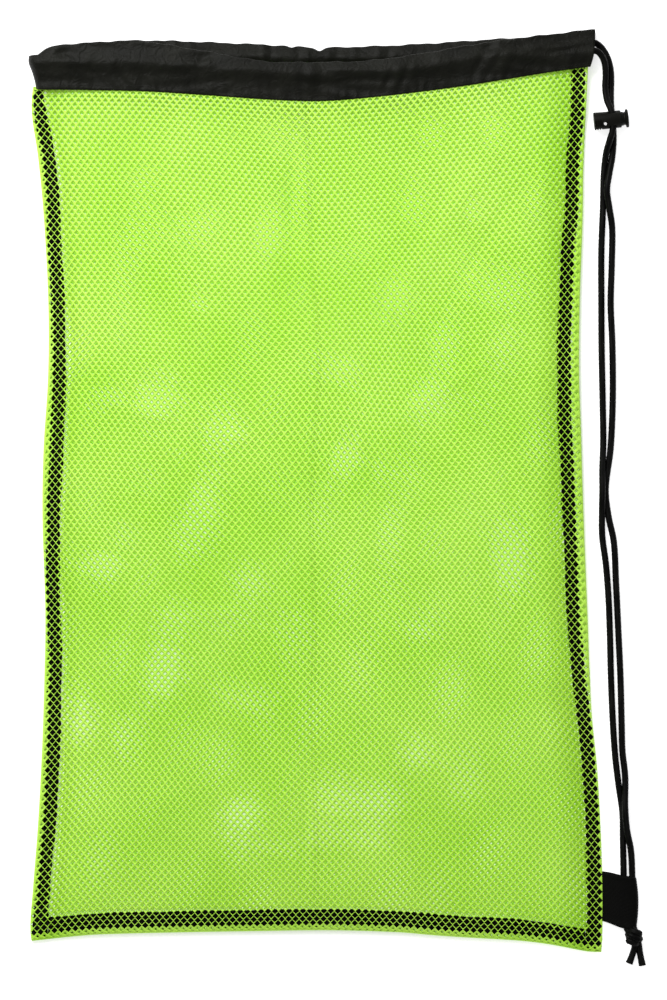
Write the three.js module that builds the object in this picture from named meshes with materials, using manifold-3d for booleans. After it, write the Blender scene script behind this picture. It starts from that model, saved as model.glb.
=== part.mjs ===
// Mesh drawstring swim bag lying on its back panel, with its drawcord laid beside it.
// Millimetres. +X to the bag's right, +Y to its mouth, +Z up off the surface.
// The origin is on the surface, under the middle of the bag's box.
import * as THREE from 'three';
import { mergeVertices } from 'three/addons/utils/BufferGeometryUtils.js';
import Module from 'manifold-3d';

const wasm = await Module();
wasm.setup();

// Net panels and the tape that binds their seams
const NET_WALL = 1.2;
const GAP = 0.35;
const TAPE_WIDTH = 10;
const TAPE_THICK = 1.5;
const TAPE_STEP = NET_WALL + TAPE_THICK + 2 * GAP;   // the front net's height over the tape
const SEAM_LIFT = NET_WALL + GAP;                    // the front net's height at the seam itself
const SEAM_ROLL = 1.4;                               // the net rolls over the tape's edge in this width
const TAPE_END_INSET = 1.8;
const BOTTOM_TAPE_INSET = 3.5;
const PUFF = 11;                                     // how far the front net stands off the back net
const PUFF_REACH = 22;                               // how slowly it rises away from a seam
const MOUTH_REACH = 90;                              // the stretch over which it meets the casing's height
const SEAM_TOP_RISE = 4.2;                           // the side seams lift to the casing's folded end
const SEAM_RISE_LENGTH = 45;
const SEAM_CURL = 18;                                // width of the lifted edge
const TAPE_TOP_SLACK = 0.7;                          // the tape stands off the back net by this at the top
const TAPE_SLACK_SHARE = 1 / 3;                      // the share of the seams' rise in which it lifts off
const BINDING_STEPS = { side: 26, bottom: 20 };
const FRONT_GRID = { edge: [0, SEAM_ROLL, 8, SEAM_CURL, 34], across: 11, up: 17 };
const BACK_GRID = { edge: [0, SEAM_CURL / 2, SEAM_CURL], across: 9, up: 17 };

// Casing, the double band round the mouth, with the cord's channel in it
const CASING_WALL = 1;
const CASING_HALF = 1.2;                             // half the thickness of its two layers laid flat
const CORD_BULGE = 3.2;
const BULGE_SPREAD = 6.5;
const BULGE_SHARE = 1.35;                            // the bulge of both sides together
const CASING_RIGHT = 193;
const CASING_LEFT = -216;
const RIGHT_SLANT = 3.6;                             // its ends slant outwards from hem to rim
const LEFT_SLANT = -5.2;
const CASING_STEPS = 26;                             // stations along each half
const FOLD_STEPS = 5;                                // stations round its folded left end
const HEM_STITCH = 3.2;                              // closed width along the hem
const RIM_ROUND = 0.8;
const RIM_CLEAR = 2;                                 // the points across the bulge keep below the rim by this
const BULGE_PLACES = [-8, -4, 0, 4, 8];              // points of a section, from the middle of the cord
const CHANNEL_STEP = 0.15;                           // distance between points at the top of the channel

// Cord, its lock and the ribbon loop
const CORD_DIAMETER = 4;
const CORD_SIDES = 8;
const STRAND_STEPS = 40;
const CORD_GAP = 0.4;
const NET_TOP_GAP = 0.8;                             // between the nets' upper edges and the hem
const LOCK_RADIUS = 6.5;
const LOCK_LENGTH = 20.4;
const LOCK_TILT = THREE.MathUtils.degToRad(5.8);
const LOCK_END = new THREE.Vector3(195.8, 276.4, 7);
const BORE_RADIUS = 5.6;
const BORE_FLOOR = 4;
const CORD_SLOT = { at: 13.9, halfWidth: 3.2, halfHeight: 4.7 };
const EYELET = { at: 9, side: -2.6, radius: 1.1 };
const GRIP_GROOVES = [2.2, 4.2, 6.2];
const GROOVE_DEPTH = 0.4;
const GROOVE_HALF_WIDTH = 0.5;
const PLUNGER_RADIUS = 5.3;
const PLUNGER_TIP = 10.6;
const PLUNGER_TRAVEL = 3;
const BUTTON = { from: 23.9, to: 25.8, radius: 6.9 };
const LOCK_SIDES = 20;
const TAB_WIDTH = 37.5;                              // ribbon width, along the seam
const TAB_WALL = 1;
const TAB_REACH = 26.4;                              // how far the loop stands out of the seam
const TAB_HEIGHT = 6.9;
const TAB_BEND = 4;                                  // length of its rounded end
const TAB_FULL = 12;                                 // from here to the bend it has its full height
const TAB_SEAM = { from: 1.3, to: 3.5, reach: 5, top: 4.2 };  // its sewn end, between the two nets
const TAB_ROOT = { x: 203, y: -305.4 };
const TAB_SLOPE = -0.16;                             // the loop points a little down
const KNOT_CENTRE = new THREE.Vector3(226, -336, 6.2);
const KNOT_RADII = new THREE.Vector3(6.4, 6.6, 5.2);
const KNOT_WRAP = { radius: 4.5, cord: 1.9, turn: 0.7, lean: 1 };
const KNOT_STEPS = { round: 12, down: 8, wrapSides: 6, wrapRound: 14, end: 4 };
const WELD = 1e-4;                                   // points nearer than this are one

// Left and right edges of the net, down the bag
const OUTLINE = [
  { y: 320, left: -222.5, right: 191.5 },
  { y: 287, left: -226.3, right: 189.8 },
  { y: 250, left: -221.5, right: 187 },
  { y: 205, left: -217.2, right: 186.4 },
  { y: 140, left: -213.8, right: 184.6 },
  { y: 85, left: -214, right: 184.4 },
  { y: 30, left: -217.4, right: 186 },
  { y: -20, left: -218.2, right: 188.2 },
  { y: -95, left: -216, right: 191.2 },
  { y: -165, left: -217.4, right: 193.6 },
  { y: -210, left: -219.2, right: 198 },
  { y: -255, left: -221.8, right: 200.4 },
  { y: -300, left: -225.4, right: 202.6 },
  { y: -330, left: -227.4, right: 202.4 },
  { y: -347, left: -225, right: 201.6 },
];

// Bottom edge of the net, across the bag
const BOTTOM_EDGE = [
  { x: -228, y: -338.5 },
  { x: -175, y: -332.2 },
  { x: -62, y: -330 },
  { x: -2, y: -329 },
  { x: 95, y: -334.5 },
  { x: 155, y: -342 },
  { x: 186, y: -345.8 },
  { x: 203, y: -345.2 },
];

// How far the bound seam allowances lie inside the net's edges, down the bag
const TAPE_INSETS = [
  { y: 320, left: 2.4, right: 1.6 },
  { y: 262, left: 3, right: 2 },
  { y: 172, left: 2.4, right: 5.2 },
  { y: 52, left: 4.2, right: 6.4 },
  { y: -20, left: 4.4, right: 5.4 },
  { y: -112, left: 4.4, right: 4.8 },
  { y: -157, left: 4, right: 2 },
  { y: -210, left: 3.8, right: 1.6 },
  { y: -345, left: 3.6, right: 1.6 },
];

// The casing across the bag: its hem, its two rims, the front half's height, and the cord in each half
const CASING = [
  { x: -216, hem: 299.7, frontRim: 328.6, backRim: 330.5, lift: 12.4, frontCord: 319.5, backCord: 320.5 },
  { x: -190, hem: 299.5, frontRim: 331.5, backRim: 335.6, lift: 13.6, frontCord: 320, backCord: 324.5 },
  { x: -145, hem: 298.7, frontRim: 333.6, backRim: 338, lift: 15.6, frontCord: 320, backCord: 327.5 },
  { x: -100, hem: 296.3, frontRim: 328.6, backRim: 335.6, lift: 17, frontCord: 317, backCord: 326.5 },
  { x: -50, hem: 293.2, frontRim: 321.6, backRim: 334, lift: 17.8, frontCord: 312.6, backCord: 325 },
  { x: -10, hem: 292.5, frontRim: 320.6, backRim: 333, lift: 18, frontCord: 311.6, backCord: 324 },
  { x: 28, hem: 295.6, frontRim: 321.8, backRim: 333.8, lift: 17.8, frontCord: 312.8, backCord: 325 },
  { x: 65, hem: 299.8, frontRim: 327, backRim: 335.3, lift: 17, frontCord: 317, backCord: 326.5 },
  { x: 110, hem: 306.4, frontRim: 333.6, backRim: 337.6, lift: 15.2, frontCord: 323, backCord: 329.5 },
  { x: 156, hem: 313.6, frontRim: 338.8, backRim: 341.3, lift: 12.4, frontCord: 327, backCord: 333.2 },
  { x: 192, hem: 317.3, frontRim: 345.6, backRim: 346.4, lift: 9.8, frontCord: 328.5, backCord: 336.6 },
];

// Gathers of the casing: place along the bag, width, lean of the fold towards the rim, and rise or dip
const GATHERS = [
  { x: -178, width: 13, lean: 0.5, rise: -0.9 },
  { x: -140, width: 15, lean: -0.4, rise: 0.8 },
  { x: -104, width: 12, lean: 0.3, rise: -0.8 },
  { x: -62, width: 14, lean: -0.2, rise: 0.7 },
  { x: -9, width: 11, lean: 0.1, rise: -1.1 },
  { x: 38, width: 14, lean: 0.4, rise: 0.9 },
  { x: 78, width: 12, lean: -0.5, rise: -0.9 },
  { x: 118, width: 15, lean: 0.5, rise: 0.9 },
  { x: 158, width: 12, lean: 0.2, rise: -0.7 },
];

// Soft folds of the front net: middle, heading from +Y, half length, half width, and rise or dip
const NET_FOLDS = [
  { x: -26, y: 225, heading: 2, length: 85, width: 12, rise: -2.4 },
  { x: -118, y: 240, heading: -12, length: 70, width: 22, rise: 1.6 },
  { x: 82, y: 235, heading: 14, length: 80, width: 20, rise: 1.4 },
  { x: -160, y: 60, heading: -6, length: 120, width: 24, rise: 1.2 },
  { x: 132, y: 20, heading: 8, length: 130, width: 22, rise: -1.4 },
  { x: -70, y: -140, heading: 25, length: 90, width: 26, rise: -1.3 },
  { x: 90, y: -215, heading: -30, length: 95, width: 24, rise: 1.5 },
  { x: -150, y: -260, heading: 40, length: 70, width: 18, rise: 1.2 },
];

// Free strand from the casing's front half: the upper cord in the lock, down the bag's side, to the knot
const FRONT_STRAND = [
  [197.4, 329, 10.8], [201, 326.2, 9.8], [203.8, 320.5, 7.6], [204.7, 311.5, 5.7], [204.3, 302, 5.7],
  [205.7, 292, 7.5], [208.4, 285.2, 9], [209.5, 278.2, 9.1], [209.8, 270, 9], [207.8, 263, 7.8],
  [205.4, 254.5, 5], [204.2, 246, 2.6], [203.4, 236, 2.3], [202.8, 212, 2.3], [201.6, 180, 2.3],
  [201.6, 140, 2.3], [201.8, 105, 2.3], [202.6, 65, 2.3], [203, 36, 2.3], [202.2, 14, 4.8],
  [202.2, 0, 6.5], [202, -14, 5], [202.2, -34, 2.3], [205, -56, 2.3], [206.9, -80, 2.3],
  [208, -108, 2.3], [208.8, -140, 2.3], [210, -170, 2.3], [212, -200, 2.3], [214.6, -222, 2.3],
  [217.4, -242, 2.3], [217.8, -262, 2.4], [218.2, -284, 3.3], [218.6, -304, 3.4], [219.4, -320, 3.4],
  [221, -330.6, 4],
];

// Free strand from the casing's back half: the lower cord in the lock, to the knot
const BACK_STRAND = [
  [197.4, 335.4, 3.4], [201.8, 332, 2.8], [205.8, 325.5, 2.4], [208.2, 317.5, 2.3], [208.9, 309.5, 2.3],
  [208.7, 300, 2.4], [208.6, 291, 4.2], [209, 285.2, 4.9], [209.7, 278.2, 4.95], [210.5, 269, 4.3],
  [210.6, 261, 3], [209.7, 250, 2.8], [207.5, 238, 4.4], [205.6, 225, 6.4], [207.4, 212, 4.8],
  [209.6, 198, 2.3], [209.4, 170, 2.3], [208.6, 140, 2.3], [209.8, 110, 2.3], [210.2, 75, 2.3],
  [209.6, 50, 2.3], [208.4, 30, 2.3], [204.8, 0, 2.3], [207, -20, 2.3], [210.8, -38, 2.3],
  [212.6, -70, 2.3], [214.3, -105, 2.3], [215.9, -140, 2.3], [216.8, -175, 2.3], [217.4, -196, 2.3],
  [219.4, -215, 3], [219.2, -238, 6.5], [220.6, -255, 6.3], [223.6, -270, 4.3], [224.6, -286, 3.4],
  [224.8, -305, 3.4], [224.8, -320, 3.4], [225.6, -328.6, 3.8],
];

// The two free ends below the knot
const FREE_ENDS = [
  [[225, -340, 4.4], [224, -346, 2.6], [222, -357, 2.2]],
  [[228.6, -340, 4.4], [230.6, -346, 2.6], [232.4, -358, 2.2]],
];

const NET = new THREE.MeshStandardMaterial({ color: 0xaee63c, roughness: 0.7, metalness: 0 });
const TAPE = new THREE.MeshStandardMaterial({ color: 0x151513, roughness: 0.85, metalness: 0 });
const NYLON = new THREE.MeshStandardMaterial({ color: 0x1e1e1b, roughness: 0.55, metalness: 0 });
const CORD = new THREE.MeshStandardMaterial({ color: 0x141412, roughness: 0.8, metalness: 0 });
const PLASTIC = new THREE.MeshStandardMaterial({ color: 0x191916, roughness: 0.4, metalness: 0 });

const { clamp, lerp, smoothstep } = THREE.MathUtils;

// A smooth curve through one column of a table, as a function of the column that it runs along.
function column(rows, along, name) {
  const sorted = [...rows].sort((a, b) => a[along] - b[along]);
  const at = sorted.map((row) => row[along]);
  const value = sorted.map((row) => row[name]);
  const last = at.length - 1;
  const slope = at.map((_, i) => {
    const before = Math.max(i - 1, 0);
    const after = Math.min(i + 1, last);
    return (value[after] - value[before]) / (at[after] - at[before]);
  });
  return (x) => {
    const held = clamp(x, at[0], at[last]);
    const after = Math.max(1, at.findIndex((a) => a >= held));
    const before = after - 1;
    const span = at[after] - at[before];
    const t = (held - at[before]) / span;
    const stay = (1 + 2 * t) * (1 - t) ** 2;
    const bend = t * (1 - t) ** 2 * slope[before] - t * t * (1 - t) * slope[after];
    return stay * value[before] + (1 - stay) * value[after] + span * bend;
  };
}

const leftEdge = column(OUTLINE, 'y', 'left');
const rightEdge = column(OUTLINE, 'y', 'right');
const bottomEdge = column(BOTTOM_EDGE, 'x', 'y');
const leftInset = column(TAPE_INSETS, 'y', 'left');
const rightInset = column(TAPE_INSETS, 'y', 'right');
const hem = column(CASING, 'x', 'hem');
const frontRim = column(CASING, 'x', 'frontRim');
const backRim = column(CASING, 'x', 'backRim');
const lift = column(CASING, 'x', 'lift');
const frontCord = column(CASING, 'x', 'frontCord');
const backCord = column(CASING, 'x', 'backCord');
const netTop = (x) => hem(x) - NET_TOP_GAP;

// A closed body from points and triangles, turned so that its faces point out.
function closedBody(points, triangles) {
  const volume = triangles.reduce((sum, [a, b, c]) => {
    const cross = new THREE.Vector3().crossVectors(points[b], points[c]);
    return sum + points[a].dot(cross);
  }, 0);
  const facing = volume < 0 ? triangles.map(([a, b, c]) => [a, c, b]) : triangles;
  const geometry = new THREE.BufferGeometry().setFromPoints(points);
  geometry.setIndex(facing.flat());
  geometry.computeVertexNormals();
  return geometry;
}

const quad = (a, b, c, d) => [[a, b, c], [a, c, d]];

// A sheet of cloth: a grid of places, each with the heights of its upper and lower face.
function sheetBody(grid) {
  const rows = grid.length;
  const columns = grid[0].length;
  const points = [];
  for (const face of ['top', 'bottom']) {
    for (const row of grid) {
      for (const place of row) {
        points.push(new THREE.Vector3(place.x, place.y, place[face]));
      }
    }
  }
  const top = (j, i) => j * columns + i;
  const bottom = (j, i) => rows * columns + top(j, i);
  const triangles = [];
  for (let j = 0; j < rows - 1; j += 1) {
    for (let i = 0; i < columns - 1; i += 1) {
      triangles.push(...quad(top(j, i), top(j, i + 1), top(j + 1, i + 1), top(j + 1, i)));
      triangles.push(...quad(bottom(j, i), bottom(j + 1, i), bottom(j + 1, i + 1), bottom(j, i + 1)));
    }
    const right = columns - 1;
    triangles.push(...quad(top(j, 0), top(j + 1, 0), bottom(j + 1, 0), bottom(j, 0)));
    triangles.push(...quad(top(j, right), bottom(j, right), bottom(j + 1, right), top(j + 1, right)));
  }
  for (let i = 0; i < columns - 1; i += 1) {
    const far = rows - 1;
    triangles.push(...quad(top(0, i), bottom(0, i), bottom(0, i + 1), top(0, i + 1)));
    triangles.push(...quad(top(far, i), top(far, i + 1), bottom(far, i + 1), bottom(far, i)));
  }
  return closedBody(points, triangles);
}

// A band swept through rings of points. With inner rings it is a sleeve, open at both ends.
function sweptBody(outer, inner) {
  const sides = outer[0].length;
  const stations = outer.length;
  const points = [...outer.flat(), ...(inner ?? []).flat()];
  const triangles = [];
  const skin = (first, turned) => {
    for (let j = 0; j < stations - 1; j += 1) {
      for (let i = 0; i < sides; i += 1) {
        const next = (i + 1) % sides;
        const here = first + j * sides;
        const there = here + sides;
        const faces = quad(here + i, here + next, there + next, there + i);
        triangles.push(...(turned ? faces.map(([a, b, c]) => [a, c, b]) : faces));
      }
    }
  };
  const ringEnd = (station, turned) => {
    const out = station * sides;
    const into = stations * sides + out;
    for (let i = 0; i < sides; i += 1) {
      const next = (i + 1) % sides;
      const faces = quad(out + i, into + i, into + next, out + next);
      triangles.push(...(turned ? faces.map(([a, b, c]) => [a, c, b]) : faces));
    }
  };
  const flatEnd = (station, turned) => {
    const first = station * sides;
    for (let i = 1; i < sides - 1; i += 1) {
      const face = [first, first + i + 1, first + i];
      triangles.push(turned ? face.toReversed() : face);
    }
  };
  skin(0, false);
  if (inner) {
    skin(stations * sides, true);
  }
  const cap = inner ? ringEnd : flatEnd;
  cap(0, false);
  cap(stations - 1, true);
  return closedBody(points, triangles);
}

// Net panels

// Places across a width: close together near the edges, even between them.
function stops(width, edge, even) {
  const inner = Array.from({ length: even }, (_, i) => {
    const first = edge.at(-1);
    return lerp(first, width - first, (i + 1) / (even + 1));
  });
  return [...edge, ...inner, ...edge.map((d) => width - d).reverse()];
}

// Places up a height: close together at the bottom seam, even from there, and in the seams' rise at the top.
function rises(height, edge, even) {
  const first = edge.at(-1);
  const last = height - SEAM_RISE_LENGTH;
  const upper = [SEAM_RISE_LENGTH / 2, 0].map((d) => height - d);
  return [...edge, ...Array.from({ length: even }, (_, j) => lerp(first, last, (j + 1) / even)), ...upper];
}

// The grid of a panel: its outer columns keep their distance to the side seams, its rows to the bottom seam.
function panelGrid({ edge, across, up }, heights) {
  const rowCount = rises(0, edge, up).length;
  const columnCount = 2 * edge.length + across;
  const settle = 4;   // rounds in which x and y settle, as each depends on the other
  return Array.from({ length: rowCount }, (_, j) => Array.from({ length: columnCount }, (_unused, i) => {
    let x = lerp(leftEdge(0), rightEdge(0), i / (columnCount - 1));
    let y = 0;
    for (let k = 0; k < settle; k += 1) {
      y = bottomEdge(x) + rises(netTop(x) - bottomEdge(x), edge, up)[j];
      x = leftEdge(y) + stops(rightEdge(y) - leftEdge(y), edge, across)[i];
    }
    return { x, y, ...heights(x, y) };
  }));
}

// Distances from a place to the three seams.
const toSeams = (x, y) => [x - leftEdge(y), rightEdge(y) - x, y - bottomEdge(x)];

// The share of the seams' rise that a place up the bag has reached.
const risen = (x, y) => clamp(1 - (netTop(x) - y) / SEAM_RISE_LENGTH, 0, 1);

// The side seams rise to the casing's folded end, and lift the edges of both nets with them.
function seamRise(x, y) {
  const [left, right] = toSeams(x, y);
  const near = clamp(1 - Math.min(left, right) / SEAM_CURL, 0, 1);
  return SEAM_TOP_RISE * risen(x, y) * near;
}

const awayFromSeam = (distance) => 1 - Math.exp(-Math.max(distance, 0) / PUFF_REACH);

// Long soft hollows and ridges, each fading to its ends and sides.
function netFolds(x, y) {
  return NET_FOLDS.reduce((sum, fold) => {
    const turn = THREE.MathUtils.degToRad(fold.heading);
    const along = (x - fold.x) * Math.sin(turn) + (y - fold.y) * Math.cos(turn);
    const across = (x - fold.x) * Math.cos(turn) - (y - fold.y) * Math.sin(turn);
    return sum + fold.rise * Math.exp(-((along / fold.length) ** 2) - (across / fold.width) ** 2);
  }, 0);
}

function frontHeights(x, y) {
  const distances = toSeams(x, y);
  const overTape = clamp(Math.min(...distances) / SEAM_ROLL, 0, 1);
  const open = distances.map(awayFromSeam).reduce((a, b) => a * b);
  const nearMouth = smoothstep(y, netTop(x) - MOUTH_REACH, netTop(x));
  const full = lerp(PUFF + netFolds(x, y), lift(x) - NET_WALL / 2 - TAPE_STEP, nearMouth);
  const bottom = lerp(SEAM_LIFT, TAPE_STEP, overTape) + seamRise(x, y) + full * open;
  return { bottom, top: bottom + NET_WALL };
}

function backHeights(x, y) {
  const bottom = seamRise(x, y);
  return { bottom, top: bottom + NET_WALL };
}

const frontPanel = () => sheetBody(panelGrid(FRONT_GRID, frontHeights));
const backPanel = () => sheetBody(panelGrid(BACK_GRID, backHeights));

// Tape that binds the seam allowances, lying on the back net

function tapeHeights(x, y) {
  const slack = TAPE_TOP_SLACK * clamp(risen(x, y) / TAPE_SLACK_SHARE, 0, 1);
  const bottom = NET_WALL + GAP + slack + seamRise(x, y);
  return { bottom, top: bottom + TAPE_THICK };
}

const acrossTape = [0, 0.5, 1];

function sideBinding(edge, inset, side) {
  const steps = BINDING_STEPS.side;
  const endX = edge(0);
  const from = bottomEdge(endX) + TAPE_END_INSET;
  return sheetBody(Array.from({ length: steps + 1 }, (_, j) => acrossTape.map((share) => {
    const y = lerp(from, netTop(edge(hem(endX))) - CORD_GAP, j / steps);
    const x = edge(y) + side * (inset(y) + share * TAPE_WIDTH);
    return { x, y, ...tapeHeights(x, y) };
  })));
}

function bottomBinding() {
  const steps = BINDING_STEPS.bottom;
  const y = bottomEdge(0) + BOTTOM_TAPE_INSET + TAPE_WIDTH / 2;
  const margin = TAPE_WIDTH + 2 * CORD_GAP;
  const from = leftEdge(y) + leftInset(y) + margin;
  const to = rightEdge(y) - rightInset(y) - margin;
  return sheetBody(acrossTape.map((share) => Array.from({ length: steps + 1 }, (_, i) => {
    const x = lerp(from, to, i / steps);
    const place = { x, y: bottomEdge(x) + BOTTOM_TAPE_INSET + share * TAPE_WIDTH };
    return { ...place, ...tapeHeights(place.x, place.y) };
  })));
}

// Casing

const DEEPEST_GATHER = Math.min(...GATHERS.map(({ rise }) => rise));

// Folds that cross the band, leaning with the distance from its hem.
function gathers(x, y) {
  return GATHERS.reduce((sum, fold) => {
    const off = x - fold.x - fold.lean * (y - hem(x));
    return sum + fold.rise * Math.exp(-((off / fold.width) ** 2));
  }, 0);
}

// Stations from the front half's right end, round the folded left end, to the back half's right end.
function casingStations() {
  const backHeight = CASING_HALF;
  const front = Array.from({ length: CASING_STEPS + 1 }, (_, k) => {
    const x = lerp(CASING_RIGHT, CASING_LEFT, k / CASING_STEPS);
    return { x, z: lift(x), turn: 0 };
  });
  const radius = (lift(CASING_LEFT) - backHeight) / 2;
  const fold = Array.from({ length: FOLD_STEPS }, (_, k) => {
    const turn = Math.PI * (k + 1) / (FOLD_STEPS + 1);
    return { x: CASING_LEFT - radius * Math.sin(turn), z: backHeight + radius * (1 + Math.cos(turn)), turn };
  });
  const back = front.map(({ x }) => ({ x, z: backHeight, turn: Math.PI })).reverse();
  return [...front, ...fold, ...back];
}

// One cross-section of the casing: where its hem, rim and cord are, and how a place on it is found.
function casingSection({ x, z, turn }) {
  const toBack = turn / Math.PI;
  const bottom = hem(x);
  const rim = lerp(frontRim(x), backRim(x), toBack);
  const cord = lerp(frontCord(x), backCord(x), toBack);
  const outward = new THREE.Vector3(-Math.sin(turn), 0, Math.cos(turn));
  const fromLeft = clamp((x - CASING_LEFT) / (CASING_RIGHT - CASING_LEFT), 0, 1);
  const slant = lerp(LEFT_SLANT, RIGHT_SLANT, fromLeft);
  const bulge = (y) => CORD_BULGE * Math.exp(-(((y - cord) / BULGE_SPREAD) ** 2));
  const outside = (y) => CASING_HALF + bulge(y) * (1 - toBack);
  const inside = (y) => CASING_HALF + bulge(y) * (BULGE_SHARE - 1 + toBack);
  const place = (y, off) => {
    const fold = gathers(x, y);
    const moved = lerp(fold, (DEEPEST_GATHER - fold) / 2, toBack);
    const share = (y - bottom) / (rim - bottom);
    const middle = new THREE.Vector3(x + slant * share, y, z);
    return middle.addScaledVector(outward, off + moved);
  };
  return { bottom, rim, cord, outside, inside, place };
}

// Heights of a section's points: across the cord's bulge, then to the rim.
function sectionHeights({ bottom, rim, cord }) {
  const spread = BULGE_PLACES.map((d) => clamp(cord + d, bottom + HEM_STITCH, rim - RIM_CLEAR));
  return [bottom, ...spread, rim - RIM_ROUND];
}

function casingRing(station) {
  const section = casingSection(station);
  const heights = sectionHeights(section);
  const out = heights.map((y) => section.place(y, section.outside(y)));
  const into = heights.map((y) => section.place(y, -section.inside(y)));
  return [...out, section.place(section.rim, 0), ...into.reverse()];
}

// The channel inside: the same section, one wall thickness in, closed along the hem.
function channelRing(station) {
  const section = casingSection(station);
  const low = section.bottom + HEM_STITCH;
  const high = section.rim - CASING_WALL - RIM_ROUND;
  const places = sectionHeights(section);
  const heights = places.map((y, i) => clamp(y, low, high - CHANNEL_STEP * (places.length - 1 - i)));
  const out = heights.map((y) => section.place(y, section.outside(y) - CASING_WALL));
  const into = heights.map((y) => section.place(y, CASING_WALL - section.inside(y)));
  return [...out, section.place(high + CHANNEL_STEP, 0), ...into.reverse()];
}

function casing() {
  const stations = casingStations();
  return sweptBody(stations.map(casingRing), stations.map(channelRing));
}

// The stretch of cord in the channel, resting in the middle of its bulge.
function cordInCasing() {
  const radius = CORD_DIAMETER / 2;
  const rings = casingStations().map((station) => {
    const { cord, outside, inside, place } = casingSection(station);
    const middle = (outside(cord) - inside(cord)) / 2;
    const centre = place(cord, middle);
    const up = place(cord, middle + 1).sub(centre);
    const across = new THREE.Vector3(0, 1, 0);
    return Array.from({ length: CORD_SIDES }, (_, i) => {
      const angle = 2 * Math.PI * i / CORD_SIDES;
      return centre.clone()
        .addScaledVector(across, radius * Math.cos(angle))
        .addScaledVector(up, radius * Math.sin(angle));
    });
  });
  return sweptBody(rings);
}

// Free strands, knot and ribbon loop

const curveThrough = (places) => new THREE.CatmullRomCurve3(
  places.map((place) => new THREE.Vector3(...place)), false, 'centripetal',
);

function cordTube(places, steps) {
  const section = new THREE.Shape();
  section.absarc(0, 0, CORD_DIAMETER / 2, 0, 2 * Math.PI);
  const extrudePath = curveThrough(places);
  return new THREE.ExtrudeGeometry(section, { steps, extrudePath, curveSegments: CORD_SIDES / 2 });
}

// A geometry as a solid to join or cut, and back.
function solid(geometry) {
  const bare = geometry.clone();
  bare.deleteAttribute('normal');
  bare.deleteAttribute('uv');
  const merged = mergeVertices(bare, WELD);
  const triVerts = Uint32Array.from(merged.index.array);
  const vertProperties = Float32Array.from(merged.attributes.position.array);
  return new wasm.Manifold(new wasm.Mesh({ numProp: 3, vertProperties, triVerts }));
}

function geometryOf(body) {
  const { vertProperties, triVerts } = body.getMesh();
  const geometry = new THREE.BufferGeometry();
  geometry.setAttribute('position', new THREE.BufferAttribute(vertProperties, 3));
  geometry.setIndex(new THREE.BufferAttribute(triVerts, 1));
  geometry.computeVertexNormals();
  return geometry;
}

// An overhand knot's lump: a rounded core with one turn of cord round it, and the two free ends.
function knot() {
  const { round, down, wrapSides, wrapRound, end } = KNOT_STEPS;
  const core = new THREE.SphereGeometry(1, round, down);
  core.scale(KNOT_RADII.x, KNOT_RADII.y, KNOT_RADII.z);
  const wrap = new THREE.TorusGeometry(KNOT_WRAP.radius, KNOT_WRAP.cord, wrapSides, wrapRound);
  wrap.rotateX(KNOT_WRAP.lean);
  wrap.rotateZ(KNOT_WRAP.turn);
  const lump = solid(core).add(solid(wrap)).translate(KNOT_CENTRE.toArray());
  return geometryOf(FREE_ENDS.reduce((body, places) => body.add(solid(cordTube(places, end))), lump));
}

// A flat ribbon folded into a loop round both strands, with its ends in the seam.
function cordTab() {
  const { from, to, reach, top } = TAB_SEAM;
  const bend = TAB_REACH - TAB_BEND;
  const middle = TAB_HEIGHT / 2;
  const outside = new THREE.Shape();
  outside.moveTo(0, from);
  outside.lineTo(reach, 0);
  outside.lineTo(bend, 0);
  outside.quadraticCurveTo(TAB_REACH, 0, TAB_REACH, middle);
  outside.quadraticCurveTo(TAB_REACH, TAB_HEIGHT, bend, TAB_HEIGHT);
  outside.lineTo(TAB_FULL, TAB_HEIGHT);
  outside.lineTo(reach, top);
  outside.lineTo(0, to);
  const end = TAB_REACH - TAB_WALL;
  const high = TAB_HEIGHT - TAB_WALL;
  const loop = new THREE.Path();
  loop.moveTo(reach + TAB_WALL, TAB_WALL);
  loop.lineTo(bend, TAB_WALL);
  loop.quadraticCurveTo(end, TAB_WALL, end, middle);
  loop.quadraticCurveTo(end, high, bend, high);
  loop.lineTo(TAB_FULL, high);
  loop.lineTo(reach + TAB_WALL, top - TAB_WALL / 2);
  outside.holes.push(loop);
  const shape = { depth: TAB_WIDTH, bevelEnabled: false, curveSegments: 4 };
  const geometry = new THREE.ExtrudeGeometry(outside, shape);
  geometry.rotateX(Math.PI / 2);
  geometry.translate(0, TAB_WIDTH / 2, 0);
  geometry.applyMatrix4(new THREE.Matrix4().makeShear(TAB_SLOPE, 0, 0, 0, 0, 0));
  return geometry;
}

// Cord lock, made along +Y from the closed end of its barrel

function lathe(profile) {
  const places = profile.map(([radius, along]) => new THREE.Vector2(radius, along));
  return new THREE.LatheGeometry(places, LOCK_SIDES);
}

function boxAt(size, centre) {
  return new THREE.BoxGeometry(...size).translate(...centre);
}

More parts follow.
